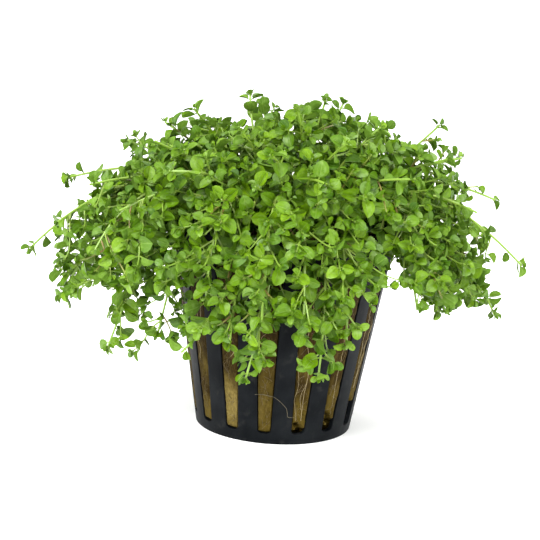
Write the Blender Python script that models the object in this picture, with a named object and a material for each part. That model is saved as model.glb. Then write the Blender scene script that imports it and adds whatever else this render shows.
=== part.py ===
"""Potted dwarf baby tears, as an aquarium shop sells it.

A tapered pot with upright slots holds a plug of stone wool. Slender shoots root in the top of the plug,
arch over the rim and carry small leaves in crossed pairs. The script is in metres, with +Z up and the origin
at the middle of the pot's base.
"""

import math

import bmesh
import bpy
import numpy as np
from mathutils import Quaternion, Vector
from mathutils.bvhtree import BVHTree

MM = 0.001
MERGE_DISTANCE = 0.01 * MM

# The pot: a thin tapered wall, an upright lip at the top and a flat base
POT_HEIGHT = 50 * MM
POT_BASE_RADIUS = 18.5 * MM
POT_RIM_RADIUS = 26.9 * MM
POT_WALL = 1.1 * MM
LIP_WIDTH = 1.6 * MM
LIP_HEIGHT = 2.2 * MM
SLOT_COUNT = 15
FIRST_SLOT_DEG = -96
SLOT_BOTTOM = 2.6 * MM
SLOT_TOP = 43.0 * MM
SLOT_BOTTOM_WIDTH = 3.1 * MM
SLOT_TOP_WIDTH = 6.4 * MM

# The stone wool plug, a little domed where the shoots come out of it
TOUCHING_GAP = 0.3 * MM
WOOL_SHOULDER = 44.5 * MM
WOOL_DOME = 2.0 * MM
WOOL_SIDES = 24
WOOL_TOP_RINGS = (0.8, 0.45, 0)

# The shoots
SHOOT_COUNT = 58
STEM_FOOT_RADIUS = 0.62 * MM
STEM_TIP_RADIUS = 0.48 * MM
FOOT_SPREAD = 19.5 * MM
FOOT_SPACING = 2.6 * MM
STEM_SPACING = 2.9 * MM
RIM_CLEARANCE = 2.0 * MM
ROUTE_POINTS = 22
FIRST_HANDLE_SLANT = 0.12
LAST_HANDLE_SLANT = 0.28
HANGING_DROP = 26 * MM
COMB_STROKES = 40
COMB_SMOOTHING = 0.15
LEAF_LENGTH = 6.6 * MM
LEAF_WIDTH = 5.6 * MM
LEAF_OUTLINE = ((0.42, 1.0), (0.88, 0.66))
KEEL_DEPTH = 0.5 * MM
PAIR_SCALES = (0.75, 1.0, 1.0, 0.95)
PAIR_LEANS_DEG = (48, 20, 16, 10)
ROSETTE_PAIRS = 2
DOME_PAIRS = 3
NODE_HEIGHT = 0.9 * MM
INTERNODE = 6.2 * MM
BARE_STEP = 10.0 * MM
LIGHT_FROM_SIDE = 0.9
LEAF_FLATTENING = 0.5
FACE_LIGHT_SHARE = 0.7
LEAF_CLEARANCE = 1.1
STEM_TREE_RADIUS = 1.0 * MM
SMALLER_LEAVES = (1.0, 0.85, 0.7)
LEAF_TURNS_DEG = (0, 22, -22, 44, -44)

# The canopy is a dome, flatter from front to back, whose skirt hangs lower at the sides than in front
CANOPY_RADIUS = 54 * MM
CANOPY_DEPTH_SHARE = 0.86
CANOPY_MIDDLE = 38 * MM
CANOPY_RISE = 41 * MM
CANOPY_LOWEST_DEG = 108
FRONT_LOWEST_DEG = 84
CANOPY_PLACES = 62
CANOPY_SPACING = 11.0 * MM
CROWN_RADIUS = 27 * MM
CROWN_LIFT = 12 * MM
SKIRT_LIFT = 27 * MM
CROWN_DROP = -10 * MM
SKIRT_DROP = 20 * MM
DOME_SWING = 5 * MM
GOLDEN_ANGLE = math.pi * (3 - math.sqrt(5))

# The shoots that stand out of the dome, each with the place of its tip, how high the first handle of its
# stem stands over its foot, how high the last handle stands over its tip, and how far that one swings round
# the pot. All are in millimetres.
STRAY_SHOOTS = (
    (-59.8, 0.0, 39.1, 24, 10, 0),
    (-52.3, 4.0, 55.7, 22, 3, 3),
    (-38.4, 6.0, 65.3, 18, -4, 0),
    (-30.0, 12.0, 69.2, 16, -6, -2),
    (-52.6, -8.0, 47.5, 24, 6, -3),
    (-52.5, 2.0, 27.0, 28, 14, 3),
    (-43.4, -14.0, 34.0, 28, 16, 2),
    (-40.3, -8.0, 25.2, 38, 14, 1),
    (-39.1, -17.0, 20.6, 40, 8, -4),
    (-27.3, -24.0, 26.5, 30, 16, 0),
    (-42.5, -22.0, 44.5, 24, 12, -3),
    (-36.9, -27.0, 54.9, 20, 4, 2),
    (35.3, 8.0, 73.0, 14, -14, 0),
    (40.8, 4.0, 66.1, 18, -4, 2),
    (49.2, 2.0, 56.9, 22, 4, -3),
    (47.1, -7.0, 49.8, 24, 8, 4),
    (56.6, 0.0, 41.8, 26, 8, 0),
    (50.8, -3.0, 30.2, 28, 12, 3),
    (36.9, -14.0, 32.9, 30, 24, 0),
    (43.2, -9.0, 36.5, 26, 16, -3),
    (33.3, -24.0, 41.5, 24, 18, 3),
    (9.3, -35.0, 21.3, 34, 28, 3),
    (-6.8, -35.0, 20.2, 34, 28, 9),
    (5.2, -38.0, 31.0, 30, 24, 0),
    (15.1, -34.0, 29.1, 32, 26, 0),
    (-16.5, -35.0, 38.0, 28, 22, -2),
    (-21.5, -30.0, 24.0, 44, 10, 20),
    (31.5, -16.0, 33.5, 30, 18, 0),
    (-4.0, -39.5, 34.5, 28, 22, 0),
    (-10.8, -35.0, 27.5, 32, 26, 1),
    (-18.0, 38.0, 36.0, 28, 22, 2),
    (12.0, 40.0, 31.0, 30, 24, -2),
    (35.0, 27.0, 38.0, 28, 20, 3),
    (-38.0, 25.0, 36.0, 28, 20, -3),
)


def remove_startup_objects():
    for obj in list(bpy.data.objects):
        bpy.data.objects.remove(obj, do_unlink=True)


def material(name, colour, roughness):
    mat = bpy.data.materials.new(name)
    mat.use_nodes = True
    shader = mat.node_tree.nodes["Principled BSDF"]
    shader.inputs["Base Color"].default_value = (*colour, 1)
    shader.inputs["Roughness"].default_value = roughness
    shader.inputs["Metallic"].default_value = 0
    return mat


def add_object(name, bm, mat):
    mesh = bpy.data.meshes.new(name)
    bm.to_mesh(mesh)
    bm.free()
    mesh.materials.append(mat)
    obj = bpy.data.objects.new(name, mesh)
    bpy.context.scene.collection.objects.link(obj)
    return obj


def pot_radius(z):
    """The outside radius of the tapered wall at a height."""
    return POT_BASE_RADIUS + (POT_RIM_RADIUS - POT_BASE_RADIUS) * z / POT_HEIGHT


def slot_half_angle(z):
    """Half of a slot's angle at a height: the bars keep nearly one width, and the slots open upwards."""
    share = (min(max(z, SLOT_BOTTOM), SLOT_TOP) - SLOT_BOTTOM) / (SLOT_TOP - SLOT_BOTTOM)
    width = SLOT_BOTTOM_WIDTH + (SLOT_TOP_WIDTH - SLOT_BOTTOM_WIDTH) * share
    return width / 2 / pot_radius(z)


def pot_ring(bm, radius, z, slot_z):
    """One level of the pot: both edges of each slot, in turn, and so of each bar."""
    half = slot_half_angle(slot_z)
    ring = []
    for slot in range(SLOT_COUNT):
        middle = 2 * math.pi * slot / SLOT_COUNT + math.radians(FIRST_SLOT_DEG)
        for angle in (middle - half, middle + half):
            ring.append(bm.verts.new((radius * math.cos(angle), radius * math.sin(angle), z)))
    return ring


def build_pot(mat):
    """The pot's outer surface with its slots left open, made thick inwards by a Solidify modifier."""
    bm = bmesh.new()
    lip = pot_radius(POT_HEIGHT) + LIP_WIDTH
    slot_band = 1
    levels = [
        pot_ring(bm, POT_BASE_RADIUS, 0, 0),
        pot_ring(bm, pot_radius(SLOT_BOTTOM), SLOT_BOTTOM, SLOT_BOTTOM),
        pot_ring(bm, pot_radius(SLOT_TOP), SLOT_TOP, SLOT_TOP),
        pot_ring(bm, pot_radius(POT_HEIGHT - LIP_HEIGHT), POT_HEIGHT - LIP_HEIGHT, SLOT_TOP),
        pot_ring(bm, lip, POT_HEIGHT - LIP_HEIGHT, SLOT_TOP),
        pot_ring(bm, lip, POT_HEIGHT, SLOT_TOP),
    ]
    hub = bm.verts.new((0, 0, 0))
    count = len(levels[0])
    for i in range(count):
        j = (i + 1) % count
        bm.faces.new((levels[0][j], levels[0][i], hub))
        for band, (low, high) in enumerate(zip(levels, levels[1:])):
            if band != slot_band or i % 2 == 1:
                bm.faces.new((low[i], low[j], high[j], high[i]))
    bmesh.ops.recalc_face_normals(bm, faces=bm.faces)
    pot = add_object("pot", bm, mat)
    wall = pot.modifiers.new("wall", "SOLIDIFY")
    wall.thickness = POT_WALL
    wall.offset = -1
    wall.use_even_offset = True
    return pot


def wool_height(radius):
    """The height of the plug's domed top at a distance from its axis."""
    edge = pot_radius(WOOL_SHOULDER) - POT_WALL - TOUCHING_GAP
    return WOOL_SHOULDER + WOOL_DOME * (1 - min(radius / edge, 1) ** 2)


def build_wool(mat):
    """The stone wool plug: a turned solid that fills the pot's inside."""
    slant = math.hypot(1, (POT_RIM_RADIUS - POT_BASE_RADIUS) / POT_HEIGHT)
    inset = (POT_WALL + TOUCHING_GAP) * slant
    floor = POT_WALL + TOUCHING_GAP
    edge = pot_radius(WOOL_SHOULDER) - inset
    profile = [(0, floor), (pot_radius(floor) - inset, floor), (edge, WOOL_SHOULDER)]
    profile += [(edge * share, wool_height(edge * share)) for share in WOOL_TOP_RINGS]
    bm = bmesh.new()
    points = [bm.verts.new((radius, 0, z)) for radius, z in profile]
    edges = [bm.edges.new(pair) for pair in zip(points, points[1:])]
    bmesh.ops.spin(
        bm, geom=points + edges, axis=(0, 0, 1), cent=(0, 0, 0), angle=2 * math.pi, steps=WOOL_SIDES
    )
    bmesh.ops.remove_doubles(bm, verts=bm.verts, dist=MERGE_DISTANCE)
    bmesh.ops.recalc_face_normals(bm, faces=bm.faces)
    return add_object("stone_wool", bm, mat)


def canopy_places():
    """Tips spread evenly over the dome, from its top down, as (x, y, z, lift, drop, swing) in metres."""
    places = []
    for i in range(CANOPY_PLACES):
        azimuth = i * GOLDEN_ANGLE
        in_front = max(0.0, -math.sin(azimuth)) ** 2
        lowest = CANOPY_LOWEST_DEG + (FRONT_LOWEST_DEG - CANOPY_LOWEST_DEG) * in_front
        share = (i + 0.5) / CANOPY_PLACES
        polar = math.acos(1 - share * (1 - math.cos(math.radians(lowest))))
        radius = CANOPY_RADIUS * math.sin(polar)
        x = radius * math.cos(azimuth)
        y = radius * math.sin(azimuth) * CANOPY_DEPTH_SHARE
        z = CANOPY_MIDDLE + CANOPY_RISE * math.cos(polar)
        lift = CROWN_LIFT + (SKIRT_LIFT - CROWN_LIFT) * share
        drop = CROWN_DROP + (SKIRT_DROP - CROWN_DROP) * share
        places.append((x, y, z, lift, drop, DOME_SWING * math.sin(i)))
    return places


def all_tips():
    """The stray shoots first, then the places of the dome that no shoot reaches yet."""
    tips = [tuple(value * MM for value in row) for row in STRAY_SHOOTS]
    for place in canopy_places():
        far = all(math.dist(place[:3], tip[:3]) > CANOPY_SPACING for tip in tips)
        if far and len(tips) < SHOOT_COUNT:
            tips.append(place)
    return tips


def all_feet(tips):
    """Where each shoot leaves the wool: under its tip, further out for a lower tip, and spaced apart."""
    outward = [math.hypot(x, y) + (CANOPY_MIDDLE - z) / 2 for x, y, z, *_ in tips]
    order = np.argsort(np.argsort(outward))
    feet = np.empty((len(tips), 2))
    for i, (x, y, *_) in enumerate(tips):
        radius = FOOT_SPREAD * math.sqrt((order[i] + 0.5) / len(tips))
        feet[i] = Vector((x, y)).normalized() * radius
    for _ in range(COMB_STROKES):
        apart = feet[:, None] - feet[None]
        distance = np.linalg.norm(apart, axis=2) + np.eye(len(feet))
        push = np.clip(FOOT_SPACING - distance, 0, None) / 2
        np.fill_diagonal(push, 0)
        feet += (apart / distance[..., None] * push[..., None]).sum(axis=1)
        radius = np.linalg.norm(feet, axis=1, keepdims=True)
        feet *= np.minimum(1, FOOT_SPREAD / radius)
    return feet


def first_route(foot, tip):
    """Points along a Bezier curve that leaves the wool upwards, arches outwards and comes to the tip.

    A shoot that hangs comes down to its tip steeply, and one that doesn't comes to it at a slant.
    """
    x, y, z, lift, drop, swing = tip
    foot = np.array([*foot, wool_height(math.hypot(*foot)) + TOUCHING_GAP])
    end = np.array([x, y, z])
    across = end - foot
    across[2] = 0
    sideways = np.array([-across[1], across[0], 0]) / max(np.linalg.norm(across), MM)
    slant = LAST_HANDLE_SLANT * (1 - drop / HANGING_DROP)
    first = foot + FIRST_HANDLE_SLANT * across + [0, 0, lift]
    last = end - slant * across + sideways * swing + [0, 0, drop]
    t = np.linspace(0, 1, ROUTE_POINTS)[:, None]
    return (1 - t) ** 3 * foot + 3 * (1 - t) ** 2 * t * first + 3 * (1 - t) * t**2 * last + t**3 * end


def clear_of_rim(points):
    """Takes the points too near the pot's rim out of its way: up, out or in, whichever is shortest."""
    inner = pot_radius(WOOL_SHOULDER) - POT_WALL - RIM_CLEARANCE
    outer = POT_RIM_RADIUS + LIP_WIDTH + RIM_CLEARANCE
    radius = np.linalg.norm(points[..., :2], axis=-1)
    ways = np.stack([POT_HEIGHT + RIM_CLEARANCE - points[..., 2], outer - radius, radius - inner])
    near = ways.min(axis=0) > 0
    shortest = ways.argmin(axis=0)
    rise = near & (shortest == 0)
    points[rise, 2] += ways[0][rise]
    for way, goal in ((1, outer), (2, inner)):
        aside = near & (shortest == way)
        points[aside, :2] *= (goal / radius[aside])[:, None]


def combed(routes):
    """Pushes the routes apart wherever two stems come too close, with their feet and tips held."""
    routes = np.array(routes)
    owner = np.repeat(np.arange(len(routes)), ROUTE_POINTS)
    other = owner[:, None] != owner[None]
    for _ in range(COMB_STROKES):
        flat = routes.reshape(-1, 3)
        apart = flat[:, None] - flat[None]
        distance = np.linalg.norm(apart, axis=2) + np.eye(len(flat))
        push = np.where(other, np.clip(STEM_SPACING - distance, 0, None), 0) / 3
        moved = (apart / distance[..., None] * push[..., None]).sum(axis=1).reshape(routes.shape)
        moved[:, (0, -1)] = 0
        routes = routes + moved
        between = (routes[:, :-2] + routes[:, 2:]) / 2
        routes[:, 1:-1] += (between - routes[:, 1:-1]) * COMB_SMOOTHING
        clear_of_rim(routes[:, 1:-1])
    return routes


class Stem:
    """A route read by its length, with a frame that doesn't twist along it."""

    def __init__(self, route):
        self.points = [Vector(p) for p in route]
        steps = [(b - a).length for a, b in zip(self.points, self.points[1:])]
        self.lengths = np.concatenate([[0], np.cumsum(steps)])
        self.length = self.lengths[-1]
        self.tangents = []
        self.sides = []
        for i, point in enumerate(self.points):
            before = self.points[max(i - 1, 0)]
            after = self.points[min(i + 1, len(self.points) - 1)]
            tangent = (after - before).normalized()
            side = self.sides[-1] if self.sides else tangent.orthogonal()
            self.tangents.append(tangent)
            self.sides.append((side - tangent * side.dot(tangent)).normalized())

    def at(self, along):
        """The point, the direction and the side at a length from the foot."""
        i = int(np.clip(np.searchsorted(self.lengths, along) - 1, 0, len(self.points) - 2))
        share = (along - self.lengths[i]) / (self.lengths[i + 1] - self.lengths[i])
        point = self.points[i].lerp(self.points[i + 1], share)
        tangent = self.tangents[i].lerp(self.tangents[i + 1], share).normalized()
        side = self.sides[i].lerp(self.sides[i + 1], share)
        return point, tangent, (side - tangent * side.dot(tangent)).normalized()

    def radius(self, along):
        return STEM_FOOT_RADIUS + (STEM_TIP_RADIUS - STEM_FOOT_RADIUS) * along / self.length


def pair_height(stem, pair):
    """How far along the stem a pair of leaves stands. The first two stand close together at the tip."""
    if pair < ROSETTE_PAIRS:
        return stem.length - (pair + 0.5) * NODE_HEIGHT
    return stem.length - (ROSETTE_PAIRS - 0.5) * NODE_HEIGHT - (pair + 1 - ROSETTE_PAIRS) * INTERNODE


def leaf_frame(point, tangent, outward, lean_deg):
    """The direction a leaf grows in and the one its upper face looks in. Both turn it towards the light."""
    light = (Vector((point.x, point.y, 0)).normalized() * LIGHT_FROM_SIDE + Vector((0, 0, 1))).normalized()
    lean = math.radians(lean_deg)
    grow = outward * math.cos(lean) + tangent * math.sin(lean)
    grow = (grow - light * grow.dot(light) * LEAF_FLATTENING).normalized()
    face = tangent * (1 - FACE_LIGHT_SHARE) + light * FACE_LIGHT_SHARE
    face = (face - grow * face.dot(grow)).normalized()
    return grow, face


def leaf_rings(base, grow, face, scale):
    """The two rings of a leaf, each a left point, a right point and a keel point under them."""
    across = grow.cross(face)
    rings = []
    for share, breadth in LEAF_OUTLINE:
        middle = base + grow * (LEAF_LENGTH * scale * share)
        half = across * (LEAF_WIDTH * scale * breadth / 2)
        keel = middle - face * KEEL_DEPTH * breadth
        rings.append((middle - half, middle + half, keel))
    return rings


def leaf_tree(base, rings):
    """A leaf alone, a little larger than it is, as a tree for finding overlaps."""
    corners = [*rings[0], *rings[1]]
    middle = sum(corners, Vector()) / len(corners)
    points = [base, *(middle + (corner - middle) * LEAF_CLEARANCE for corner in corners)]
    faces = [(0, 1, 2), (0, 2, 3), (0, 3, 1), (1, 4, 5, 2), (2, 5, 6, 3), (3, 6, 4, 1), (4, 6, 5)]
    return BVHTree.FromPolygons(points, faces)


def ring_heights(stem, pairs):
    """Where along the stem its rings of corners lie, from the tip down, and the band of each leaf pair."""
    heights = [stem.length]
    bands = []
    for pair in range(pairs):
        middle = pair_height(stem, pair)
        if pair >= ROSETTE_PAIRS:
            heights.append(middle + NODE_HEIGHT / 2)
        bands.append(len(heights) - 1)
        heights.append(middle - NODE_HEIGHT / 2)
    bare = heights[-1]
    count = max(2, round(bare / BARE_STEP))
    heights += [bare * i / count for i in reversed(range(count))]
    return heights, bands


def stem_tree(stem, pairs):
    """A bare stem, a little thicker than it is, as a tree for finding overlaps."""
    points = []
    faces = []
    for height in ring_heights(stem, pairs)[0]:
        point, tangent, side = stem.at(height)
        wide = side * STEM_TREE_RADIUS
        high = tangent.cross(side) * STEM_TREE_RADIUS
        if points:
            low = len(points) - 4
            faces += [(low + k, low + (k + 1) % 4, low + 4 + (k + 1) % 4, low + 4 + k) for k in range(4)]
        points += [point + wide, point + high, point - wide, point - high]
    return BVHTree.FromPolygons(points, faces)


def free_leaf(stem, pair, outward, in_the_way):
    """The two rings of the first leaf that touches nothing, tried straight, then turned, then smaller."""
    point, tangent, _ = stem.at(pair_height(stem, pair))
    base = point + outward * STEM_TIP_RADIUS
    for smaller in SMALLER_LEAVES:
        for turn_deg in LEAF_TURNS_DEG:
            turned = Quaternion(tangent, math.radians(turn_deg)) @ outward
            grow, face = leaf_frame(point, tangent, turned, PAIR_LEANS_DEG[pair])
            rings = leaf_rings(base, grow, face, PAIR_SCALES[pair] * smaller)
            tree = leaf_tree(base, rings)
            if not any(tree.overlap(other) for other in in_the_way):
                return rings, tree
    return None, None


def choose_leaves(stems, solids):
    """For each stem its leaf pairs from the tip down, each a list of (outward direction, rings).

    The tips choose first, over all of the plant, so that a crowded leaf is left out deep in the canopy.
    """
    most = len(PAIR_SCALES)
    counts = [most if number < len(STRAY_SHOOTS) else DOME_PAIRS for number in range(len(stems))]
    trees = [stem_tree(stem, count) for stem, count in zip(stems, counts)]
    reach = 2 * (LEAF_LENGTH + LEAF_WIDTH)
    leaves = []
    plans = [[] for _ in stems]
    for pair in range(most):
        for number, stem in enumerate(stems):
            if pair >= counts[number]:
                continue
            point, tangent, side = stem.at(pair_height(stem, pair))
            axis = side if pair % 2 == 0 else tangent.cross(side)
            near = [tree for place, tree in leaves if (place - point).length < reach]
            in_the_way = near + solids + trees[:number] + trees[number + 1 :]
            plan = []
            for outward in (axis, -axis):
                rings, tree = free_leaf(stem, pair, outward, in_the_way)
                if rings:
                    leaves.append((point, tree))
                    plan.append((outward, rings))
            plans[number].append(plan)
    return plans


def stem_ring(bm, stem, along):
    """Four corners round the stem at a length from its foot."""
    point, tangent, side = stem.at(along)
    other = tangent.cross(side)
    reach = stem.radius(along)
    corners = (side + other, other - side, -side - other, side - other)
    return [bm.verts.new(point + corner * reach * math.sqrt(0.5)) for corner in corners]


def grow_leaf(bm, face, rings):
    """Draws a leaf out of one side of the stem in two steps. Its lower corners come together in the keel."""
    left, right, keel = rings[0]
    up = (left + right) / 2 - keel
    (face,) = bmesh.ops.extrude_discrete_faces(bm, faces=[face])["faces"]
    corners = sorted(face.verts, key=lambda v: v.co.dot(up))
    lower = corners[:2]
    upper = sorted(corners[2:], key=lambda v: v.co.dot(right - left))
    for vert, place in zip(upper + lower, (left, right, keel, keel)):
        vert.co = place
    (face,) = bmesh.ops.extrude_discrete_faces(bm, faces=[face])["faces"]
    for vert in face.verts:
        corner = min(range(3), key=lambda k: (rings[0][k] - vert.co).length)
        vert.co = rings[1][corner]


def build_shoot(name, stem, plan, mat):
    """One shoot: a square stem whose node faces are drawn out into leaves, all one closed surface."""
    bm = bmesh.new()
    heights, bands = ring_heights(stem, len(plan))
    rings = [stem_ring(bm, stem, height) for height in heights]
    for vert in rings[-1]:
        vert.co.z = stem.points[0].z
    sides = []
    for high, low in zip(rings, rings[1:]):
        corners = [(low[k], low[(k + 1) % 4], high[(k + 1) % 4], high[k]) for k in range(4)]
        sides.append([bm.faces.new(corner) for corner in corners])
    bm.faces.new(rings[0])
    bm.faces.new(reversed(rings[-1]))
    bm.normal_update()
    for band, pair in zip(bands, plan):
        for outward, leaf in pair:
            free = [face for face in sides[band] if face.is_valid]
            grow_leaf(bm, max(free, key=lambda face: face.normal.dot(outward)), leaf)
    bmesh.ops.remove_doubles(bm, verts=bm.verts, dist=MERGE_DISTANCE)
    bmesh.ops.recalc_face_normals(bm, faces=bm.faces)
    return add_object(name, bm, mat)


def shoot_names(tips):
    """A name for each shoot from where its tip is: crown, front, left, right or back, and a number."""
    counts = {}
    names = []
    for x, y, *_ in tips:
        if math.hypot(x, y / CANOPY_DEPTH_SHARE) < CROWN_RADIUS:
            where = "crown"
        elif abs(x) > abs(y):
            where = "left" if x < 0 else "right"
        else:
            where = "front" if y < 0 else "back"
        counts[where] = counts.get(where, 0) + 1
        names.append(f"shoot_{where}_{counts[where]:02d}")
    return names


def tree_of(obj):
    """An object's evaluated surface as a tree for finding overlaps."""
    graph = bpy.context.evaluated_depsgraph_get()
    return BVHTree.FromObject(obj, graph)


def main():
    remove_startup_objects()
    pot = build_pot(material("black_plastic", (0.02, 0.021, 0.024), 0.45))
    wool = build_wool(material("stone_wool", (0.26, 0.17, 0.04), 0.85))
    leaf_green = material("leaf_green", (0.15, 0.36, 0.03), 0.5)
    bpy.context.view_layer.update()
    tips = all_tips()
    routes = combed([first_route(foot, tip) for foot, tip in zip(all_feet(tips), tips)])
    stems = [Stem(route) for route in routes]
    plans = choose_leaves(stems, [tree_of(pot), tree_of(wool)])
    for name, stem, plan in zip(shoot_names(tips), stems, plans):
        build_shoot(name, stem, plan, leaf_green)


main()
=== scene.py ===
# %% [markdown]
# # Dwarf baby tears in a slatted pot
#
# The real thing is a small aquarium plant, as a shop sells it. A tapered black pot with upright slots holds a
# plug of stone wool. Thin shoots root in the plug, branch again and again, and carry thousands of round
# leaves in crossed pairs, which make a bush twice as wide as the pot.
#
# The solids already settle the sizes: the pot, the plug, and each shoot's stem and tip. This lesson dresses
# them. Each shoot gets its side twigs and its small leaves, and every surface gets its finish. The solids are
# loaded first, because every size and place below has to agree with them.

import math

import bpy
import numpy as np
from mathutils import Matrix, Vector


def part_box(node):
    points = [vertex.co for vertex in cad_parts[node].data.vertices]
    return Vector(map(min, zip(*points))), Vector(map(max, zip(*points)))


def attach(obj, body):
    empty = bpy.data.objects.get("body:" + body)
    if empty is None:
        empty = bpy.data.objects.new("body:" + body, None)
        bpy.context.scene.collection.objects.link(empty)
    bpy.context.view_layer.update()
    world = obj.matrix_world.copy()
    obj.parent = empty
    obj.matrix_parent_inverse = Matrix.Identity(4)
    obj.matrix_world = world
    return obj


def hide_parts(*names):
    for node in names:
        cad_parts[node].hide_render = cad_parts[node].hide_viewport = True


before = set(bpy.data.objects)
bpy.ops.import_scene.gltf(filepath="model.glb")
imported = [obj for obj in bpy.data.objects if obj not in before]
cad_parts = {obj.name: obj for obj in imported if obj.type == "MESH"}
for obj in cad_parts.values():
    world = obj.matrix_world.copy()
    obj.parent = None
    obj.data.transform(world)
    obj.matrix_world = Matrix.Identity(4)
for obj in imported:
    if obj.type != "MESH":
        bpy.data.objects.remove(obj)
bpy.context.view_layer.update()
MM = 0.001


# %% [markdown]
# ## Camera
#
# The picture is taken a little from above with a long lens, so the pot's sides hardly converge. The camera
# was also held a few degrees askew, which makes the pot lean. The camera is built from its three directions
# (right, up and back), because a roll is then two lines of arithmetic.

# %% Set up the camera
CAMERA_LENS = 135
CAMERA_DISTANCE = 480 * MM
CAMERA_TARGET = Vector((-2.8, 0, 37.2)) * MM
CAMERA_ELEVATION = math.radians(13)
CAMERA_ROLL = math.radians(3.4)


def make_camera():
    back = Vector((0, -math.cos(CAMERA_ELEVATION), math.sin(CAMERA_ELEVATION)))
    level_right = Vector((1, 0, 0))
    level_up = back.cross(level_right)
    right = level_right * math.cos(CAMERA_ROLL) + level_up * math.sin(CAMERA_ROLL)
    up = level_up * math.cos(CAMERA_ROLL) - level_right * math.sin(CAMERA_ROLL)
    data = bpy.data.cameras.new("camera")
    data.lens = CAMERA_LENS
    camera = bpy.data.objects.new("camera", data)
    camera.matrix_world = Matrix.LocRotScale(
        CAMERA_TARGET + back * CAMERA_DISTANCE, Matrix((right, up, back)).transposed(), None
    )
    bpy.context.scene.collection.objects.link(camera)
    bpy.context.scene.camera = camera
    return camera


camera = make_camera()
print("camera at", [round(c, 3) for c in camera.matrix_world.translation])

# %% [markdown]
# ## Light
#
# The plant stands in a white studio, where light comes from all round. A pale world gives the all-round part,
# and four large soft area lights give the rest: the strongest from the left and above, and weaker ones from
# the right, from the left side and from above the back. The bush makes its own contrast, because little of
# this light reaches the gaps between the leaves. The Standard view keeps the whites white.

# %% Set up the lights
WORLD_STRENGTH = 1.0
LIGHT_AIM = Vector((0, 0, 45)) * MM
LIGHTS = {
    "key": {"place": (-0.30, -0.55, 0.62), "size": 0.30, "watts": 8.5},
    "fill": {"place": (0.60, -0.45, 0.30), "size": 0.50, "watts": 6.5},
    "side": {"place": (-0.62, -0.30, 0.26), "size": 0.50, "watts": 4.5},
    "top": {"place": (0.10, 0.30, 0.75), "size": 0.50, "watts": 5.5},
}


def make_light(name, place, size, watts):
    data = bpy.data.lights.new(name, "AREA")
    data.size = size
    data.energy = watts
    light = bpy.data.objects.new(name, data)
    light.location = place
    light.rotation_mode = "QUATERNION"
    light.rotation_quaternion = (LIGHT_AIM - Vector(place)).to_track_quat("-Z", "Y")
    bpy.context.scene.collection.objects.link(light)


def make_world():
    world = bpy.data.worlds.new("studio")
    world.use_nodes = True
    background = world.node_tree.nodes["Background"]
    background.inputs["Color"].default_value = (1, 1, 1, 1)
    background.inputs["Strength"].default_value = WORLD_STRENGTH
    bpy.context.scene.world = world


make_world()
for light_name, values in LIGHTS.items():
    make_light(light_name, **values)
bpy.context.scene.view_settings.view_transform = "Standard"
print("lights:", ", ".join(LIGHTS))

# %% [markdown]
# ## Writing finishes as sums
#
# A finish in Blender is a graph of nodes. Wiring one by hand takes many clicks, and many lines in a script.
# It reads better as arithmetic, so a `Wire` stands for one socket and adds a Math node for each operator.
# A `Finish` is one material. Its `node` method makes any other node from its type, its settings and what
# goes into its sockets.

# %% Helpers for finishes
class Wire:
    """One output of a finish's graph. Arithmetic with wires adds Math nodes."""

    def __init__(self, finish, socket):
        self.finish = finish
        self.socket = socket

    def maths(self, operation, *values):
        return self.finish.node("ShaderNodeMath", {"operation": operation}, dict(enumerate(values)))

    def __add__(self, other):
        return self.maths("ADD", self, other)

    def __radd__(self, other):
        return self.maths("ADD", other, self)

    def __sub__(self, other):
        return self.maths("SUBTRACT", self, other)

    def __mul__(self, other):
        return self.maths("MULTIPLY", self, other)

    def __abs__(self):
        return self.maths("ABSOLUTE", self)

    def step(self, low, high):
        """0 below the low end, 1 above the high end, and smooth between them. The ends may be swapped."""
        links = {"Value": self, "From Min": low, "From Max": high}
        return self.finish.node("ShaderNodeMapRange", {"interpolation_type": "SMOOTHSTEP"}, links)


class Finish:
    """One material and its graph, with a Principled shader that values and wires are set on."""

    def __init__(self, name, **values):
        self.material = bpy.data.materials.new(name)
        self.material.use_nodes = True
        self.tree = self.material.node_tree
        self.shader = self.tree.nodes["Principled BSDF"]
        self.set(**values)

    def put(self, socket, value):
        if isinstance(value, Wire):
            self.tree.links.new(value.socket, socket)
        elif isinstance(value, tuple) and socket.type == "RGBA":
            socket.default_value = (*value, 1)
        else:
            socket.default_value = value

    def set(self, **values):
        """Sets sockets of the Principled shader, named with underscores for spaces."""
        for name, value in values.items():
            self.put(self.shader.inputs[name.replace("_", " ")], value)

    def node(self, kind, settings=None, links=None, output=0):
        """Adds a node, gives it its settings first and then its sockets, and returns one of its outputs."""
        node = self.tree.nodes.new(kind)
        for name, value in (settings or {}).items():
            setattr(node, name, value)
        for name, value in (links or {}).items():
            self.put(node.inputs[name], value)
        return Wire(self, node.outputs[output])

    def mix(self, share, first, second):
        """The first colour turning into the second as the share goes from 0 to 1."""
        links = {0: share, 6: first, 7: second}
        return self.node("ShaderNodeMix", {"data_type": "RGBA"}, links, output=2)

    def places(self, stretch=(1, 1, 1)):
        """Where a point is on the object, stretched along its axes. Patterns then have real sizes."""
        place = self.node("ShaderNodeTexCoord", output="Object")
        return self.node("ShaderNodeVectorMath", {"operation": "MULTIPLY"}, {0: place, 1: stretch})

    def noise(self, size, detail=2.0, stretch=(1, 1, 1)):
        """Cloudy noise whose blotches are about the given size across, in metres."""
        links = {"Vector": self.places(stretch), "Scale": 1 / size, "Detail": detail}
        return self.node("ShaderNodeTexNoise", None, links)

    def bump(self, height, depth):
        """A normal for relief of a height between 0 and 1 that stands for a real depth."""
        return self.node("ShaderNodeBump", None, {"Height": height, "Distance": depth, "Strength": 1.0})


print("finish helpers ready")
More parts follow.
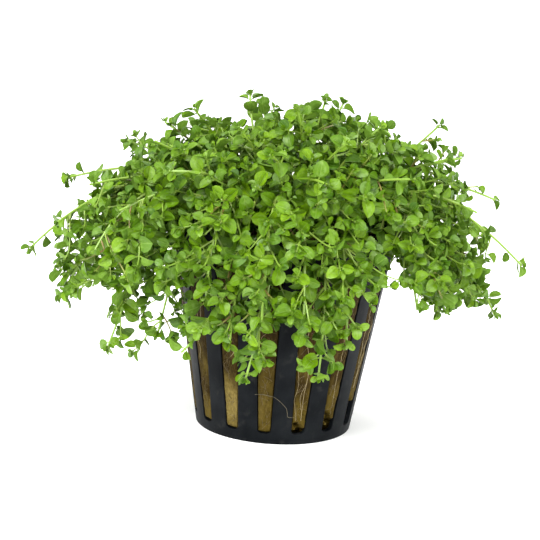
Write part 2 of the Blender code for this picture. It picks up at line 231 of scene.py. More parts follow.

# %% [markdown]
# ## Paths
#
# Stems, twigs, roots and fibres all follow paths. A path is a row of points, from a Bezier curve between two
# ends or from a curve through given points. To put a ring of points round a path, each point also needs
# a direction square to it. That direction is carried along without a twist: it is the last one, made square
# to the path again.

# %% Helpers for paths
def blend(first, last, share):
    """A value on the way from the first to the last."""
    return first + (last - first) * share


def unit(vectors):
    """Vectors along the last axis, made one long."""
    vectors = np.asarray(vectors, float)
    return vectors / np.maximum(np.linalg.norm(vectors, axis=-1, keepdims=True), 1e-9)


def directions(points):
    """The direction of a path at each of its points."""
    ahead = np.concatenate([points[1:], points[-1:]])
    behind = np.concatenate([points[:1], points[:-1]])
    return unit(ahead - behind)


def side_directions(along):
    """A direction square to the path at each point, which doesn't turn round the path."""
    sides = np.empty_like(along)
    lean = np.eye(3)[np.argmin(np.abs(along[0]))]
    for i, direction in enumerate(along):
        lean = unit(lean - direction * lean.dot(direction))
        sides[i] = lean
    return sides


def bezier(start, first, last, end, count):
    """Points along a Bezier curve, from its ends and its two handles."""
    t = np.linspace(0, 1, count)[:, None]
    return (1 - t) ** 3 * start + 3 * (1 - t) ** 2 * t * first + 3 * (1 - t) * t**2 * last + t**3 * end


def smooth_path(points, count):
    """A curve through given points, which passes through each of them."""
    points = np.asarray(points, float)
    padded = np.concatenate([2 * points[:1] - points[1:2], points, 2 * points[-1:] - points[-2:-1]])
    where = np.linspace(0, len(points) - 1, count)
    start = np.minimum(where.astype(int), len(points) - 2)
    t = (where - start)[:, None]
    a, b, c, d = (padded[start + k] for k in range(4))
    return b + t * (c - a) / 2 + t**2 * (2 * a - 5 * b + 4 * c - d) / 2 + t**3 * (3 * b - a - 3 * c + d) / 2


print("path helpers ready")

# %% [markdown]
# ## Meshes
#
# The pot, the wool, the stems and the roots are all rings of points with a band of faces from each ring to
# the next. A `Shape` gathers such points and faces and makes one mesh of them. Plain lists are used, because
# thousands of leaves made one at a time with operators would take minutes. Each point also has a place on a
# leaf's map and a tone, which the green finishes read.

# %% Helpers for meshes
CREASE_DEG = 50


def bands(rings, around):
    """The faces between rings of points, ring by ring. Each band closes round the ring."""
    faces = []
    for low in range(0, (rings - 1) * around, around):
        for k in range(around):
            after = (k + 1) % around
            faces.append([low + k, low + after, low + around + after, low + around + k])
    return faces


def caps(rings, around):
    """The two faces that close the first and the last ring."""
    return [list(range(around))[::-1], [(rings - 1) * around + k for k in range(around)]]


class Shape:
    """Points and faces for one mesh. Each face has a finish, and each point a place on a map and a tone."""

    def __init__(self):
        self.points = []
        self.faces = []
        self.finishes = []
        self.maps = []
        self.tones = []
        self.count = 0

    def add(self, points, faces, finishes=0, places=None, tones=0.0):
        points = np.asarray(points, float).reshape(-1, 3)
        self.points.append(points)
        self.faces += [[corner + self.count for corner in face] for face in faces]
        self.finishes += np.broadcast_to(finishes, len(faces)).tolist()
        self.maps.append(np.zeros((len(points), 2)) if places is None else np.asarray(places))
        self.tones.append(np.broadcast_to(np.asarray(tones, float), len(points)))
        self.count += len(points)

    def tube(self, path, radii, sides, finish=0, tones=0.0):
        """A closed tube along a path, flat at both ends."""
        path = np.asarray(path, float)
        along = directions(path)
        first = side_directions(along)
        second = np.cross(along, first)
        angles = np.arange(sides) * 2 * math.pi / sides
        ring = first[:, None] * np.cos(angles)[:, None] + second[:, None] * np.sin(angles)[:, None]
        points = path[:, None] + ring * np.broadcast_to(radii, len(path))[:, None, None]
        tones = np.repeat(np.broadcast_to(tones, len(path)), sides)
        self.add(points, caps(len(path), sides) + bands(len(path), sides), finish, tones=tones)

    def piece(self, name, materials):
        """The mesh as an object. Edges that bend more than the crease angle stay sharp."""
        mesh = bpy.data.meshes.new(name)
        mesh.from_pydata(np.concatenate(self.points), [], self.faces)
        for finish in materials:
            mesh.materials.append(finish.material)
        mesh.polygons.foreach_set("material_index", self.finishes)
        corners = np.empty(len(mesh.loops), np.int32)
        mesh.loops.foreach_get("vertex_index", corners)
        places = np.concatenate(self.maps)[corners].astype(np.float32)
        mesh.uv_layers.new(name="across").uv.foreach_set("vector", places.ravel())
        tone = mesh.attributes.new("tone", "FLOAT", "POINT")
        tone.data.foreach_set("value", np.concatenate(self.tones).astype(np.float32))
        mesh.shade_smooth()
        mesh.set_sharp_from_angle(angle=math.radians(CREASE_DEG))
        mesh.update()
        obj = bpy.data.objects.new(name, mesh)
        bpy.context.scene.collection.objects.link(obj)
        return obj


def dress(piece, slot, *nodes):
    """Fixes a piece to the plant's one body, and hides the solids that it stands for."""
    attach(piece, "root")
    if nodes:
        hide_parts(*nodes)
    return piece


def triangles(piece):
    return sum(len(face.vertices) - 2 for face in piece.data.polygons)


print("mesh helpers ready")

# %% [markdown]
# ## Floor
#
# The floor is only the stage. It is large, pale and matt, so that it shows as a plain ground with a soft
# shadow and no horizon line. A faint glow of its own keeps it white far from the lamps too.

# %% Make the floor
FLOOR_RADIUS = 3.0
FLOOR_SIDES = 64
FLOOR_GLOW = 0.12


def make_floor():
    shape = Shape()
    angles = np.arange(FLOOR_SIDES) * 2 * math.pi / FLOOR_SIDES
    rim = np.stack([np.cos(angles), np.sin(angles), np.zeros(FLOOR_SIDES)], axis=1) * FLOOR_RADIUS
    shape.add(rim, [list(range(FLOOR_SIDES))])
    paint = Finish("pale_floor", Roughness=0.9, Specular_IOR_Level=0.1)
    paint.set(Base_Color=paint.mix(paint.noise(0.2), (0.95, 0.95, 0.95), (0.98, 0.98, 0.98)))
    paint.set(Emission_Color=(1.0, 1.0, 1.0), Emission_Strength=FLOOR_GLOW)
    floor = shape.piece("floor", [paint])


make_floor()
print("floor radius in m:", FLOOR_RADIUS)

# %% [markdown]
# ## The pot's sizes
#
# The pot is one moulding: a tapered wall with fifteen upright slots, a closed base and a lip. These sizes are
# the ones that the solids were built with. The wool and the shoots are fitted to the same pot further down.

# %% Sizes of the pot and of the plug in it
POT_HEIGHT = 50 * MM
POT_BASE_RADIUS = 18.5 * MM
POT_RIM_RADIUS = 26.9 * MM
POT_WALL = 1.1 * MM
LIP_WIDTH = 1.6 * MM
LIP_HEIGHT = 2.2 * MM
SLOT_COUNT = 15
SLOT_BOTTOM = 2.6 * MM
SLOT_TOP = 43.0 * MM
SLOT_BOTTOM_WIDTH = 3.1 * MM
SLOT_TOP_WIDTH = 6.4 * MM
SLOT_PITCH = 2 * math.pi / SLOT_COUNT
FRONT = math.radians(-90)
FIRST_SLOT = math.radians(-96)
TOUCHING_GAP = 0.3 * MM
WOOL_SHOULDER = 44.5 * MM
WOOL_DOME = 2.0 * MM


def pot_radius(z):
    """The outside radius of the tapered wall at a height."""
    return POT_BASE_RADIUS + (POT_RIM_RADIUS - POT_BASE_RADIUS) * z / POT_HEIGHT


def slot_half_angle(z):
    """Half of a slot's angle at a height: the bars keep nearly one width, and the slots open upwards."""
    share = (np.clip(z, SLOT_BOTTOM, SLOT_TOP) - SLOT_BOTTOM) / (SLOT_TOP - SLOT_BOTTOM)
    return blend(SLOT_BOTTOM_WIDTH, SLOT_TOP_WIDTH, share) / 2 / pot_radius(z)


def wool_height(radius):
    """The height of the plug's domed top at a distance from its axis."""
    edge = pot_radius(WOOL_SHOULDER) - POT_WALL - TOUCHING_GAP
    return WOOL_SHOULDER + WOOL_DOME * (1 - np.minimum(radius / edge, 1) ** 2)


def on_pot(angle, radius, z):
    """Points round the pot's axis, from their angle, radius and height."""
    return np.stack([radius * np.cos(angle), radius * np.sin(angle), z], axis=-1)


print("rim radius in mm:", round(pot_radius(POT_HEIGHT) / MM, 1), "slots:", SLOT_COUNT)

# %% [markdown]
# ## Pot
#
# A lathe or a boolean cut could make the pot. Here its outer skin is laid out level by level, and the slots
# are simply left open, so that the bars come out round and evenly divided. At a slot's two ends the levels
# lie close together and draw its sides in, which rounds its corners.

# %% Lay out the pot's skin
SLOT_COLUMNS = 2
BAR_COLUMNS = 5
SLOT_CORNER = 0.8 * MM
CORNER_TURNS = (0, math.pi / 6, math.pi / 3, math.pi / 2)
BASE_RINGS = (0.97, 0.8, 0.45)


def slot_opening(z):
    """Half of a slot's angle at a height, with its corners drawn in to round ends."""
    from_end = min(z - SLOT_BOTTOM, SLOT_TOP - z)
    rounding = math.sqrt(1 - (1 - min(from_end / SLOT_CORNER, 1)) ** 2)
    return slot_half_angle(z) - (1 - rounding) * SLOT_CORNER / pot_radius(z)


def pot_level(radius, z, slot_z):
    """One ring of the pot's skin: for each slot its columns, and then those of the bar beside it."""
    half = slot_opening(slot_z)
    ring = []
    for slot in range(SLOT_COUNT):
        middle = FIRST_SLOT + slot * SLOT_PITCH
        angles = [middle - half + 2 * half * k / SLOT_COLUMNS for k in range(SLOT_COLUMNS)]
        bar = SLOT_PITCH - 2 * half
        angles += [middle + half + bar * k / BAR_COLUMNS for k in range(BAR_COLUMNS)]
        ring += [(radius * math.cos(a), radius * math.sin(a), z) for a in angles]
    return ring


def pot_skin():
    """The levels of the pot's skin from the middle of the base to the top of the lip."""
    lip = pot_radius(POT_HEIGHT) + LIP_WIDTH
    under_lip = POT_HEIGHT - LIP_HEIGHT
    steps = [SLOT_CORNER * (1 - math.cos(turn)) for turn in CORNER_TURNS]
    slot_levels = [SLOT_BOTTOM + step for step in steps] + [SLOT_TOP - step for step in reversed(steps)]
    levels = [pot_level(POT_BASE_RADIUS * share, 0, SLOT_BOTTOM) for share in reversed(BASE_RINGS)]
    levels.append(pot_level(POT_BASE_RADIUS, 0, SLOT_BOTTOM))
    slotted = range(len(levels), len(levels) + len(slot_levels) - 1)
    levels += [pot_level(pot_radius(z), z, z) for z in slot_levels]
    levels.append(pot_level(pot_radius(under_lip), under_lip, SLOT_TOP))
    levels.append(pot_level(lip, under_lip, SLOT_TOP))
    levels.append(pot_level(lip, POT_HEIGHT, SLOT_TOP))
    return levels, slotted


def pot_faces(levels, slotted):
    """The faces of the skin without those in the slots, and one that closes the base."""
    around = len(levels[0])
    faces = []
    for number, face in enumerate(bands(len(levels), around)):
        level, column = divmod(number, around)
        in_slot = column % (SLOT_COLUMNS + BAR_COLUMNS) < SLOT_COLUMNS
        if not (in_slot and level in slotted):
            faces.append(face)
    faces.append(list(range(around))[::-1])
    return faces


pot_levels, slotted_levels = pot_skin()
print("levels of the skin:", len(pot_levels), "of which slotted:", len(slotted_levels))

# %% [markdown]
# ## The pot's wall and its plastic
#
# A Solidify modifier gives the skin its wall, and a Bevel modifier rounds the edges, as on any moulding. The
# rounded edges catch thin lines of light. The plastic is a charcoal that is nearly black, with a moulded
# grain too fine to model, clouds of wear in its gloss and a little pale dust. Its specular level is low,
# because a white studio would otherwise turn so dark a plastic grey.

# %% Make the pot
EDGE_ROUNDING = 0.14 * MM
ROUNDING_SEGMENTS = 2
SHARPEST_EDGE_DEG = 40


def pot_plastic():
    plastic = Finish("charcoal_plastic", Specular_IOR_Level=0.05)
    cloud = plastic.noise(7 * MM, 4)
    grain = plastic.noise(0.25 * MM, 2)
    streak = plastic.noise(1.2 * MM, 3, stretch=(1, 1, 0.12))
    dust = plastic.noise(2.5 * MM, 5).step(0.55, 0.78) * 0.5
    colour = plastic.mix(cloud.step(0.3, 0.7), (0.0015, 0.0022, 0.0030), (0.0058, 0.0070, 0.0082))
    plastic.set(
        Base_Color=plastic.mix(dust, colour, (0.022, 0.022, 0.020)),
        Roughness=0.34 + cloud * 0.14 + streak * 0.1,
        Normal=plastic.bump(grain * 0.7 + streak * 0.3, 0.03 * MM),
    )
    return plastic


def make_pot():
    shape = Shape()
    shape.add(pot_levels, pot_faces(pot_levels, slotted_levels))
    pot = shape.piece("pot_moulding", [pot_plastic()])
    wall = pot.modifiers.new("wall", "SOLIDIFY")
    wall.thickness = POT_WALL
    wall.offset = -1
    wall.use_even_offset = True
    rounding = pot.modifiers.new("rounding", "BEVEL")
    rounding.width = EDGE_ROUNDING
    rounding.segments = ROUNDING_SEGMENTS
    rounding.limit_method = "ANGLE"
    rounding.angle_limit = math.radians(SHARPEST_EDGE_DEG)
    rounding.harden_normals = True
    return dress(pot, "pot", "pot")


pot = make_pot()
print("pot faces before its wall:", len(pot.data.polygons))

# %% [markdown]
# ## Stone wool
#
# Stone wool is a felt of spun rock fibres. It swells out between the bars, and at the foot of three slots in
# front a piece has broken out. The plug is a grid of points round the pot's inside, pushed in and out by
# formulas: a swelling in each slot, a fine felted relief, and the three ragged holes. Sums of waves in random
# directions make the relief, so no noise library is needed.

# %% Formulas for the stone wool
WOOL_CLEARANCE = 0.05 * MM
WOOL_SWELLING = 1.27 * MM
SWELLING_FLATNESS = 20
SWELLING_ROUNDNESS = 0.6
SWELLING_END = 0.8 * MM
WOOL_RELIEF = 0.13 * MM
FELT_WAVES = ((4 * MM, 0.5), (1.3 * MM, 0.5), (0.6 * MM, 0.35))
FELT_STRETCH = 0.6
BROKEN_SLOTS = {1: 4.4 * MM, 2: 6.6 * MM, 3: 9.2 * MM}
BROKEN_DEPTH = 2.6 * MM
BROKEN_EDGE = 1.2 * MM
RAGGED_WAVE = 1.5 * MM
RAGGED_HEIGHT = 1.3 * MM
RAGGED_SEED = 4


def waves(places, size, seed, count=24):
    """Smooth random relief between about -1 and 1, with humps about the given size apart."""
    rng = np.random.default_rng(seed)
    turns = unit(rng.normal(size=(count, 3))) * 2 * math.pi / size * rng.uniform(0.6, 1.5, (count, 1))
    starts = rng.uniform(0, 2 * math.pi, count)
    return np.cos(places @ turns.T + starts).sum(axis=-1) / math.sqrt(count)


def slot_place(angle):
    """The number of the slot nearest to an angle round the pot, and the angle from its middle."""
    turn = (angle - FIRST_SLOT) / SLOT_PITCH
    nearest = np.round(turn)
    return nearest.astype(int) % SLOT_COUNT, (turn - nearest) * SLOT_PITCH


def wool_half_angle(z):
    """Half of the angle that the felt fills in a slot."""
    return slot_half_angle(z) - WOOL_CLEARANCE / pot_radius(z)


def wool_radius(angle, z):
    """How far out the felt stands at an angle and a height."""
    behind_wall = pot_radius(z) - POT_WALL - TOUCHING_GAP
    slot, off = slot_place(angle)
    across = np.clip(np.abs(off) / wool_half_angle(z), 0, 1)
    from_ends = np.clip((z - SLOT_BOTTOM) / SWELLING_END, 0, 1) * np.clip((SLOT_TOP - z) / SWELLING_END, 0, 1)
    swelling = (1 - across**SWELLING_FLATNESS) ** SWELLING_ROUNDNESS * from_ends
    place = on_pot(angle, behind_wall, z * FELT_STRETCH)
    relief = sum(waves(place, size, seed) * share for seed, (size, share) in enumerate(FELT_WAVES, 1))
    radius = behind_wall + WOOL_SWELLING * swelling + WOOL_RELIEF * relief * swelling
    ragged = z + waves(place, RAGGED_WAVE, RAGGED_SEED) * RAGGED_HEIGHT
    for number, top in BROKEN_SLOTS.items():
        hole = (slot == number) * np.clip((top - ragged) / BROKEN_EDGE, 0, 1) * (across < 1)
        radius = radius - hole * BROKEN_DEPTH
    return radius


front_radius = float(wool_radius(np.array([FIRST_SLOT]), np.array([POT_HEIGHT / 2]))[0])
print("felt in the first slot, halfway up, in mm:", round(front_radius / MM, 1), "from the axis")

# %% [markdown]
# ## The felt's finish
#
# The felt is painted dark under the leaves, as painted shade from the overhanging bush, and tan lower down,
# and near its foot in front lies a paler, drier patch. So its colour follows the height and the distance from
# one place, and noise mottles both. The pale threads are thin lines, drawn where a noise that is stretched
# upwards crosses its middle value.

# %% Mix the felt's finish
DRY_PATCH = (-10 * MM, -17.5 * MM, 9 * MM)
DRY_EDGES = (13 * MM, 6 * MM)


def wool_felt():
    """Fibre: dark brown at the top as painted shade under the bush, tan lower down, mottled, with pale
    threads.
    """
    felt = Finish("stone_wool_felt", Specular_IOR_Level=0.08)
    height = felt.node("ShaderNodeSeparateXYZ", None, {0: felt.places((1 / POT_HEIGHT,) * 3)}, output=2)
    mottle = felt.noise(4.2 * MM, 4, stretch=(1, 1, 0.6))
    fleck = felt.noise(0.5 * MM, 3, stretch=(1, 1, 0.6))
    thread = abs(felt.noise(1.3 * MM, 2, stretch=(1, 1, 0.3)) - 0.5).step(0.025, 0.0)
    # Small near-black specks are painted shade in the felt's pits.
    painted_pit_shade = felt.noise(0.8 * MM, 3).step(0.42, 0.30)
    # The top of the plug is painted dark as painted shade under the overhanging bush; this mask is 1 low
    # down, where the felt is tan.
    below_painted_shade = (height * 1.3 + mottle * 1.9 - 0.85).step(0.72, 0.12)
    links = {0: felt.places(), 1: DRY_PATCH}
    from_dry = felt.node("ShaderNodeVectorMath", {"operation": "DISTANCE"}, links, output=1)
    dry = (from_dry + mottle * 8 * MM).step(*DRY_EDGES)
    colour = felt.mix(below_painted_shade, (0.016, 0.0090, 0.0003), (0.061, 0.042, 0.0045))
    colour = felt.mix(dry, colour, (0.140, 0.104, 0.028))
    colour = felt.mix(fleck.step(0.35, 0.65) * 0.4, colour, (0.034, 0.021, 0.0012))
    colour = felt.mix(painted_pit_shade * 0.5, colour, (0.010, 0.006, 0.0004))
    felt.set(
        Base_Color=felt.mix(thread * 0.2, colour, (0.150, 0.112, 0.035)),
        Roughness=0.62 + mottle * 0.3,
        Normal=felt.bump(fleck * 0.7 + thread * 0.3, 0.06 * MM),
    )
    return felt


felt_finish = wool_felt()
print("nodes in the felt's finish:", len(felt_finish.tree.nodes))

# %% [markdown]
# ## The plug
#
# The grid's columns stand close together at a slot's edges, where the felt turns in sharply. Only three lie
# behind each bar, where they don't show. Rings that shrink towards the axis close the domed top, with a soft
# relief of their own.

# %% Make the plug
WOOL_COLUMNS = (0.16, 0.32, 0.48, 0.64, 0.79, 0.92, 0.985, 1.0)
WOOL_COLUMNS_BEHIND_BAR = 3
WOOL_ROWS = 90
WOOL_TOP_ROWS = 14
TOP_WAVE = 2.2 * MM
TOP_SEED = 5
TOP_FADE = 6


def wool_angles(z):
    """The angles of the plug's columns at a height: most of them in the slots, where the felt shows."""
    half = wool_half_angle(z)
    right = np.array(WOOL_COLUMNS) * half
    behind = np.linspace(half, SLOT_PITCH - half, WOOL_COLUMNS_BEHIND_BAR + 2)[1:-1]
    one_slot = np.concatenate([-right[::-1], [0], right, behind])
    return np.concatenate([FIRST_SLOT + slot * SLOT_PITCH + one_slot for slot in range(SLOT_COUNT)])


def make_wool():
    rings = []
    for z in np.linspace(POT_WALL + TOUCHING_GAP, WOOL_SHOULDER, WOOL_ROWS):
        angles = wool_angles(z)
        heights = np.full_like(angles, z)
        rings.append(on_pot(angles, wool_radius(angles, heights), heights))
    edge = np.linalg.norm(rings[-1][:, :2], axis=1)
    for share in np.linspace(1, 0, WOOL_TOP_ROWS + 1)[1:-1]:
        ring = on_pot(angles, edge * share, angles * 0)
        fade = min(1, (1 - share) * TOP_FADE)
        ring[:, 2] = wool_height(edge * share) + waves(ring, TOP_WAVE, TOP_SEED) * WOOL_RELIEF * fade
        rings.append(ring)
    shape = Shape()
    shape.add(rings, caps(len(rings), len(angles)) + bands(len(rings), len(angles)))
    return dress(shape.piece("wool_plug", [felt_finish]), "stone_wool", "stone_wool")


wool = make_wool()
print("wool triangles:", triangles(wool))

# %% [markdown]
# ## Fibres and roots
#
# Loose fibres stand off the felt, and pale roots wander down inside the slots. One fine root has come out of
# a slot and lies across two bars. All are thin tubes. Each path is laid on the pot as angles and heights,
# and so it follows the pot's round.

# %% Lay fibres and roots on the wool
FIBRE_COUNT = 500
FIBRE_RADIUS = 0.03 * MM
FIBRE_LENGTHS_MM = (1.0, 3.2)
FIBRE_LIFTS_MM = (-0.02, 0.08)
FIBRE_BEND_MM = 0.5
FIBRE_SLANT = 0.9
FIBRE_SEED = 11
ROOT_RADIUS = 0.07 * MM
ROOT_STARTS_MM = (26, 42)
ROOT_ENDS_MM = (6, 22)
ROOT_BENDS = 6
ROOT_SEED = 12
STRAND_RADIUS = 0.05 * MM

# Roots that show in front, as degrees round the pot from its front and millimetres up
FRONT_ROOTS = (
    ((12.0, 24.0), (13.4, 19.0), (14.8, 15.2), (13.2, 11.5), (14.9, 7.6), (15.6, 4.6)),
    ((18.5, 21.0), (20.2, 16.5), (17.0, 12.4), (18.4, 8.8)),
    ((72.0, 29.0), (70.5, 25.5), (67.5, 20.9), (65.5, 16.1), (63.5, 12.0)),
    ((-50.5, 36.0), (-49.6, 32.8), (-51.5, 28.5), (-49.8, 24.0)),
)
STRAND = (
    (-12.8, 12.3), (-8.2, 12.5), (-4.3, 12.3), (-0.4, 12.0), (3.6, 11.0),
    (7.9, 9.4), (9.0, 8.2), (9.8, 7.1), (14.0, 7.0),
)


def root_cream(name, pale, dark):
    cream = Finish(name, Roughness=0.55)
    cream.set(Base_Color=cream.mix(cream.noise(1.5 * MM), dark, pale))
    return cream


def make_fibres():
    shape = Shape()
    rng = np.random.default_rng(FIBRE_SEED)
    for _ in range(FIBRE_COUNT):
        slot = rng.integers(SLOT_COUNT)
        z = rng.uniform(SLOT_BOTTOM + 2 * MM, SLOT_TOP - 1 * MM)
        slant = rng.normal(0, FIBRE_SLANT)
        length = rng.uniform(*FIBRE_LENGTHS_MM) * MM
        share = np.linspace(-0.5, 0.5, 5)
        most = slot_half_angle(z) * 0.8
        heights = z + share * length * math.cos(slant) + share**2 * rng.normal(0, FIBRE_BEND_MM) * MM
        off = share * length * math.sin(slant) / pot_radius(z)
        angles = FIRST_SLOT + slot * SLOT_PITCH + np.clip(rng.uniform(-0.75, 0.75) * most + off, -most, most)
        lift = rng.uniform(*FIBRE_LIFTS_MM) * MM
        shape.tube(on_pot(angles, wool_radius(angles, heights) + lift, heights), FIBRE_RADIUS, 3)
    cream = root_cream("spun_fibre", (0.115, 0.082, 0.028), (0.045, 0.027, 0.005))
    return dress(shape.piece("wool_fibres", [cream]), "stone_wool")


def make_roots():
    shape = Shape()
    rng = np.random.default_rng(ROOT_SEED)
    paths = [[(math.radians(angle) + FRONT, z * MM) for angle, z in root] for root in FRONT_ROOTS]
    for slot in range(SLOT_COUNT):
        heights = np.linspace(rng.uniform(*ROOT_STARTS_MM), rng.uniform(*ROOT_ENDS_MM), ROOT_BENDS) * MM
        share = np.clip(rng.uniform(-0.5, 0.5) + rng.normal(0, 0.2, ROOT_BENDS), -0.7, 0.7)
        paths.append(list(zip(FIRST_SLOT + slot * SLOT_PITCH + share * slot_half_angle(heights), heights)))
    for path in paths:
        angles, z = smooth_path(path, 30).T
        thickness = ROOT_RADIUS * rng.uniform(0.6, 1.3)
        shape.tube(on_pot(angles, wool_radius(angles, z) + thickness * 0.4, z), thickness, 5)
    cream = root_cream("root_cream", (0.290, 0.230, 0.105), (0.110, 0.075, 0.022))
    return dress(shape.piece("slot_roots", [cream]), "stone_wool")


def make_strand():
    """The loose root that crosses the front bars. Its points are degrees round the pot and millimetres up."""
    path = smooth_path(STRAND, 60)
    z = path[:, 1] * MM
    angles = FRONT + np.radians(path[:, 0])
    shape = Shape()
    shape.tube(on_pot(angles, pot_radius(z) + STRAND_RADIUS, z), STRAND_RADIUS, 6)
    cream = root_cream("strand_cream", (0.115, 0.097, 0.058), (0.060, 0.048, 0.024))
    return dress(shape.piece("loose_root", [cream]), "stone_wool")


for piece in (make_fibres(), make_roots(), make_strand()):
    print(piece.name, "triangles:", triangles(piece))

# %% [markdown]
# ## Where the shoots end
#
# Each shoot's stem has a solid already, and the detailed stem has to run down its middle. So the tips and the
# routes are worked out again here, in the same way as for the solids. The shoots that stand out at the edge
# have their tips listed one by one. The others are spread over a dome, each a golden angle further round than
# the last, wherever no shoot ends yet.

# %% Place the tips
SHOOT_COUNT = 58
CANOPY_RADIUS = 54 * MM
CANOPY_DEPTH_SHARE = 0.86
CANOPY_MIDDLE = 38 * MM
CANOPY_RISE = 41 * MM
CANOPY_LOWEST_DEG = 108
FRONT_LOWEST_DEG = 84
CANOPY_PLACES = 62
CANOPY_SPACING = 11.0 * MM
CROWN_RADIUS = 27 * MM
CROWN_LIFT = 12 * MM
SKIRT_LIFT = 27 * MM
CROWN_DROP = -10 * MM
SKIRT_DROP = 20 * MM
DOME_SWING = 5 * MM
GOLDEN_ANGLE = math.pi * (3 - math.sqrt(5))

# A stray shoot's tip (x, y, z), the lift of its first handle, the drop and the swing of its last, in mm
STRAY_SHOOTS = (
    (-59.8, 0.0, 39.1, 24, 10, 0),
    (-52.3, 4.0, 55.7, 22, 3, 3),
    (-38.4, 6.0, 65.3, 18, -4, 0),
    (-30.0, 12.0, 69.2, 16, -6, -2),
    (-52.6, -8.0, 47.5, 24, 6, -3),
    (-52.5, 2.0, 27.0, 28, 14, 3),
    (-43.4, -14.0, 34.0, 28, 16, 2),
    (-40.3, -8.0, 25.2, 38, 14, 1),
    (-39.1, -17.0, 20.6, 40, 8, -4),
    (-27.3, -24.0, 26.5, 30, 16, 0),
    (-42.5, -22.0, 44.5, 24, 12, -3),
    (-36.9, -27.0, 54.9, 20, 4, 2),
    (35.3, 8.0, 73.0, 14, -14, 0),
    (40.8, 4.0, 66.1, 18, -4, 2),
    (49.2, 2.0, 56.9, 22, 4, -3),
    (47.1, -7.0, 49.8, 24, 8, 4),
    (56.6, 0.0, 41.8, 26, 8, 0),
    (50.8, -3.0, 30.2, 28, 12, 3),
    (36.9, -14.0, 32.9, 30, 24, 0),
    (43.2, -9.0, 36.5, 26, 16, -3),
    (33.3, -24.0, 41.5, 24, 18, 3),
    (9.3, -35.0, 21.3, 34, 28, 3),
    (-6.8, -35.0, 20.2, 34, 28, 9),
    (5.2, -38.0, 31.0, 30, 24, 0),
    (15.1, -34.0, 29.1, 32, 26, 0),
    (-16.5, -35.0, 38.0, 28, 22, -2),
    (-21.5, -30.0, 24.0, 44, 10, 20),
    (31.5, -16.0, 33.5, 30, 18, 0),
    (-4.0, -39.5, 34.5, 28, 22, 0),
    (-10.8, -35.0, 27.5, 32, 26, 1),
    (-18.0, 38.0, 36.0, 28, 22, 2),
    (12.0, 40.0, 31.0, 30, 24, -2),
    (35.0, 27.0, 38.0, 28, 20, 3),
    (-38.0, 25.0, 36.0, 28, 20, -3),
)


def dome_place(azimuth, share, depth=1.0):
    """A place on the dome: its azimuth, its share of the way from top to hem, and how near the surface."""
    in_front = max(0.0, -math.sin(azimuth)) ** 2
    lowest = blend(CANOPY_LOWEST_DEG, FRONT_LOWEST_DEG, in_front)
    polar = math.acos(1 - share * (1 - math.cos(math.radians(lowest))))
    radius = CANOPY_RADIUS * math.sin(polar) * depth
    x = radius * math.cos(azimuth)
    y = radius * math.sin(azimuth) * CANOPY_DEPTH_SHARE
    return x, y, CANOPY_MIDDLE + CANOPY_RISE * math.cos(polar) * depth


def canopy_places():
    """Tips spread evenly over the dome, from its top down."""
    places = []
    for i in range(CANOPY_PLACES):
        share = (i + 0.5) / CANOPY_PLACES
        x, y, z = dome_place(i * GOLDEN_ANGLE, share)
        lift = blend(CROWN_LIFT, SKIRT_LIFT, share)
        drop = blend(CROWN_DROP, SKIRT_DROP, share)
        places.append((x, y, z, lift, drop, DOME_SWING * math.sin(i)))
    return places


def all_tips():
    """The stray shoots first, then the places of the dome that no shoot reaches yet."""
    tips = [tuple(value * MM for value in row) for row in STRAY_SHOOTS]
    for place in canopy_places():
        far = all(math.dist(place[:3], tip[:3]) > CANOPY_SPACING for tip in tips)
        if far and len(tips) < SHOOT_COUNT:
            tips.append(place)
    return tips


def shoot_names(tips):
    """The solids' names, from where each tip is."""
    counts = {}
    names = []
    for x, y, *_ in tips:
        if math.hypot(x, y / CANOPY_DEPTH_SHARE) < CROWN_RADIUS:
            where = "crown"
        elif abs(x) > abs(y):
            where = "left" if x < 0 else "right"
        else:
            where = "front" if y < 0 else "back"
        counts[where] = counts.get(where, 0) + 1
        names.append(f"shoot_{where}_{counts[where]:02d}")
    return names


tips = all_tips()
names = shoot_names(tips)
print("shoots:", len(names), "all with a solid:", all(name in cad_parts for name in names))

# %% [markdown]
# ## Routes from foot to tip
#
# A shoot leaves the wool upwards, arches out over the rim and comes down to its tip, as its weight bends it.
# The lowest shoots stand furthest out, so that the stems don't cross. Many small strokes then comb the routes
# apart: points of different stems that are too close move away from each other, and the stems are smoothed.

# %% Draw the routes and comb them apart
FOOT_SPREAD = 19.5 * MM
FOOT_SPACING = 2.6 * MM
STEM_SPACING = 2.9 * MM
RIM_CLEARANCE = 2.0 * MM
ROUTE_POINTS = 22
FIRST_HANDLE_SLANT = 0.12
LAST_HANDLE_SLANT = 0.28
HANGING_DROP = 26 * MM
COMB_STROKES = 40
COMB_SMOOTHING = 0.15


def moves_apart(points, owners, spacing, parts):
    """How each point moves from other owners' points that are nearer than the spacing."""
    apart = points[:, None] - points[None]
    distance = np.linalg.norm(apart, axis=2) + np.eye(len(points))
    push = np.where(owners[:, None] != owners[None], np.clip(spacing - distance, 0, None), 0) / parts
    return (apart / distance[..., None] * push[..., None]).sum(axis=1)


def all_feet(tips):
    """Where each shoot leaves the wool: under its tip, further out for a lower tip, and spaced apart."""
    outward = [math.hypot(x, y) + (CANOPY_MIDDLE - z) / 2 for x, y, z, *_ in tips]
    order = np.argsort(np.argsort(outward))
    feet = np.empty((len(tips), 2))
    for i, (x, y, *_) in enumerate(tips):
        radius = FOOT_SPREAD * math.sqrt((order[i] + 0.5) / len(tips))
        feet[i] = Vector((x, y)).normalized() * radius
    for _ in range(COMB_STROKES):
        feet += moves_apart(feet, np.arange(len(feet)), FOOT_SPACING, 2)
        radius = np.linalg.norm(feet, axis=1, keepdims=True)
        feet *= np.minimum(1, FOOT_SPREAD / radius)
    return feet


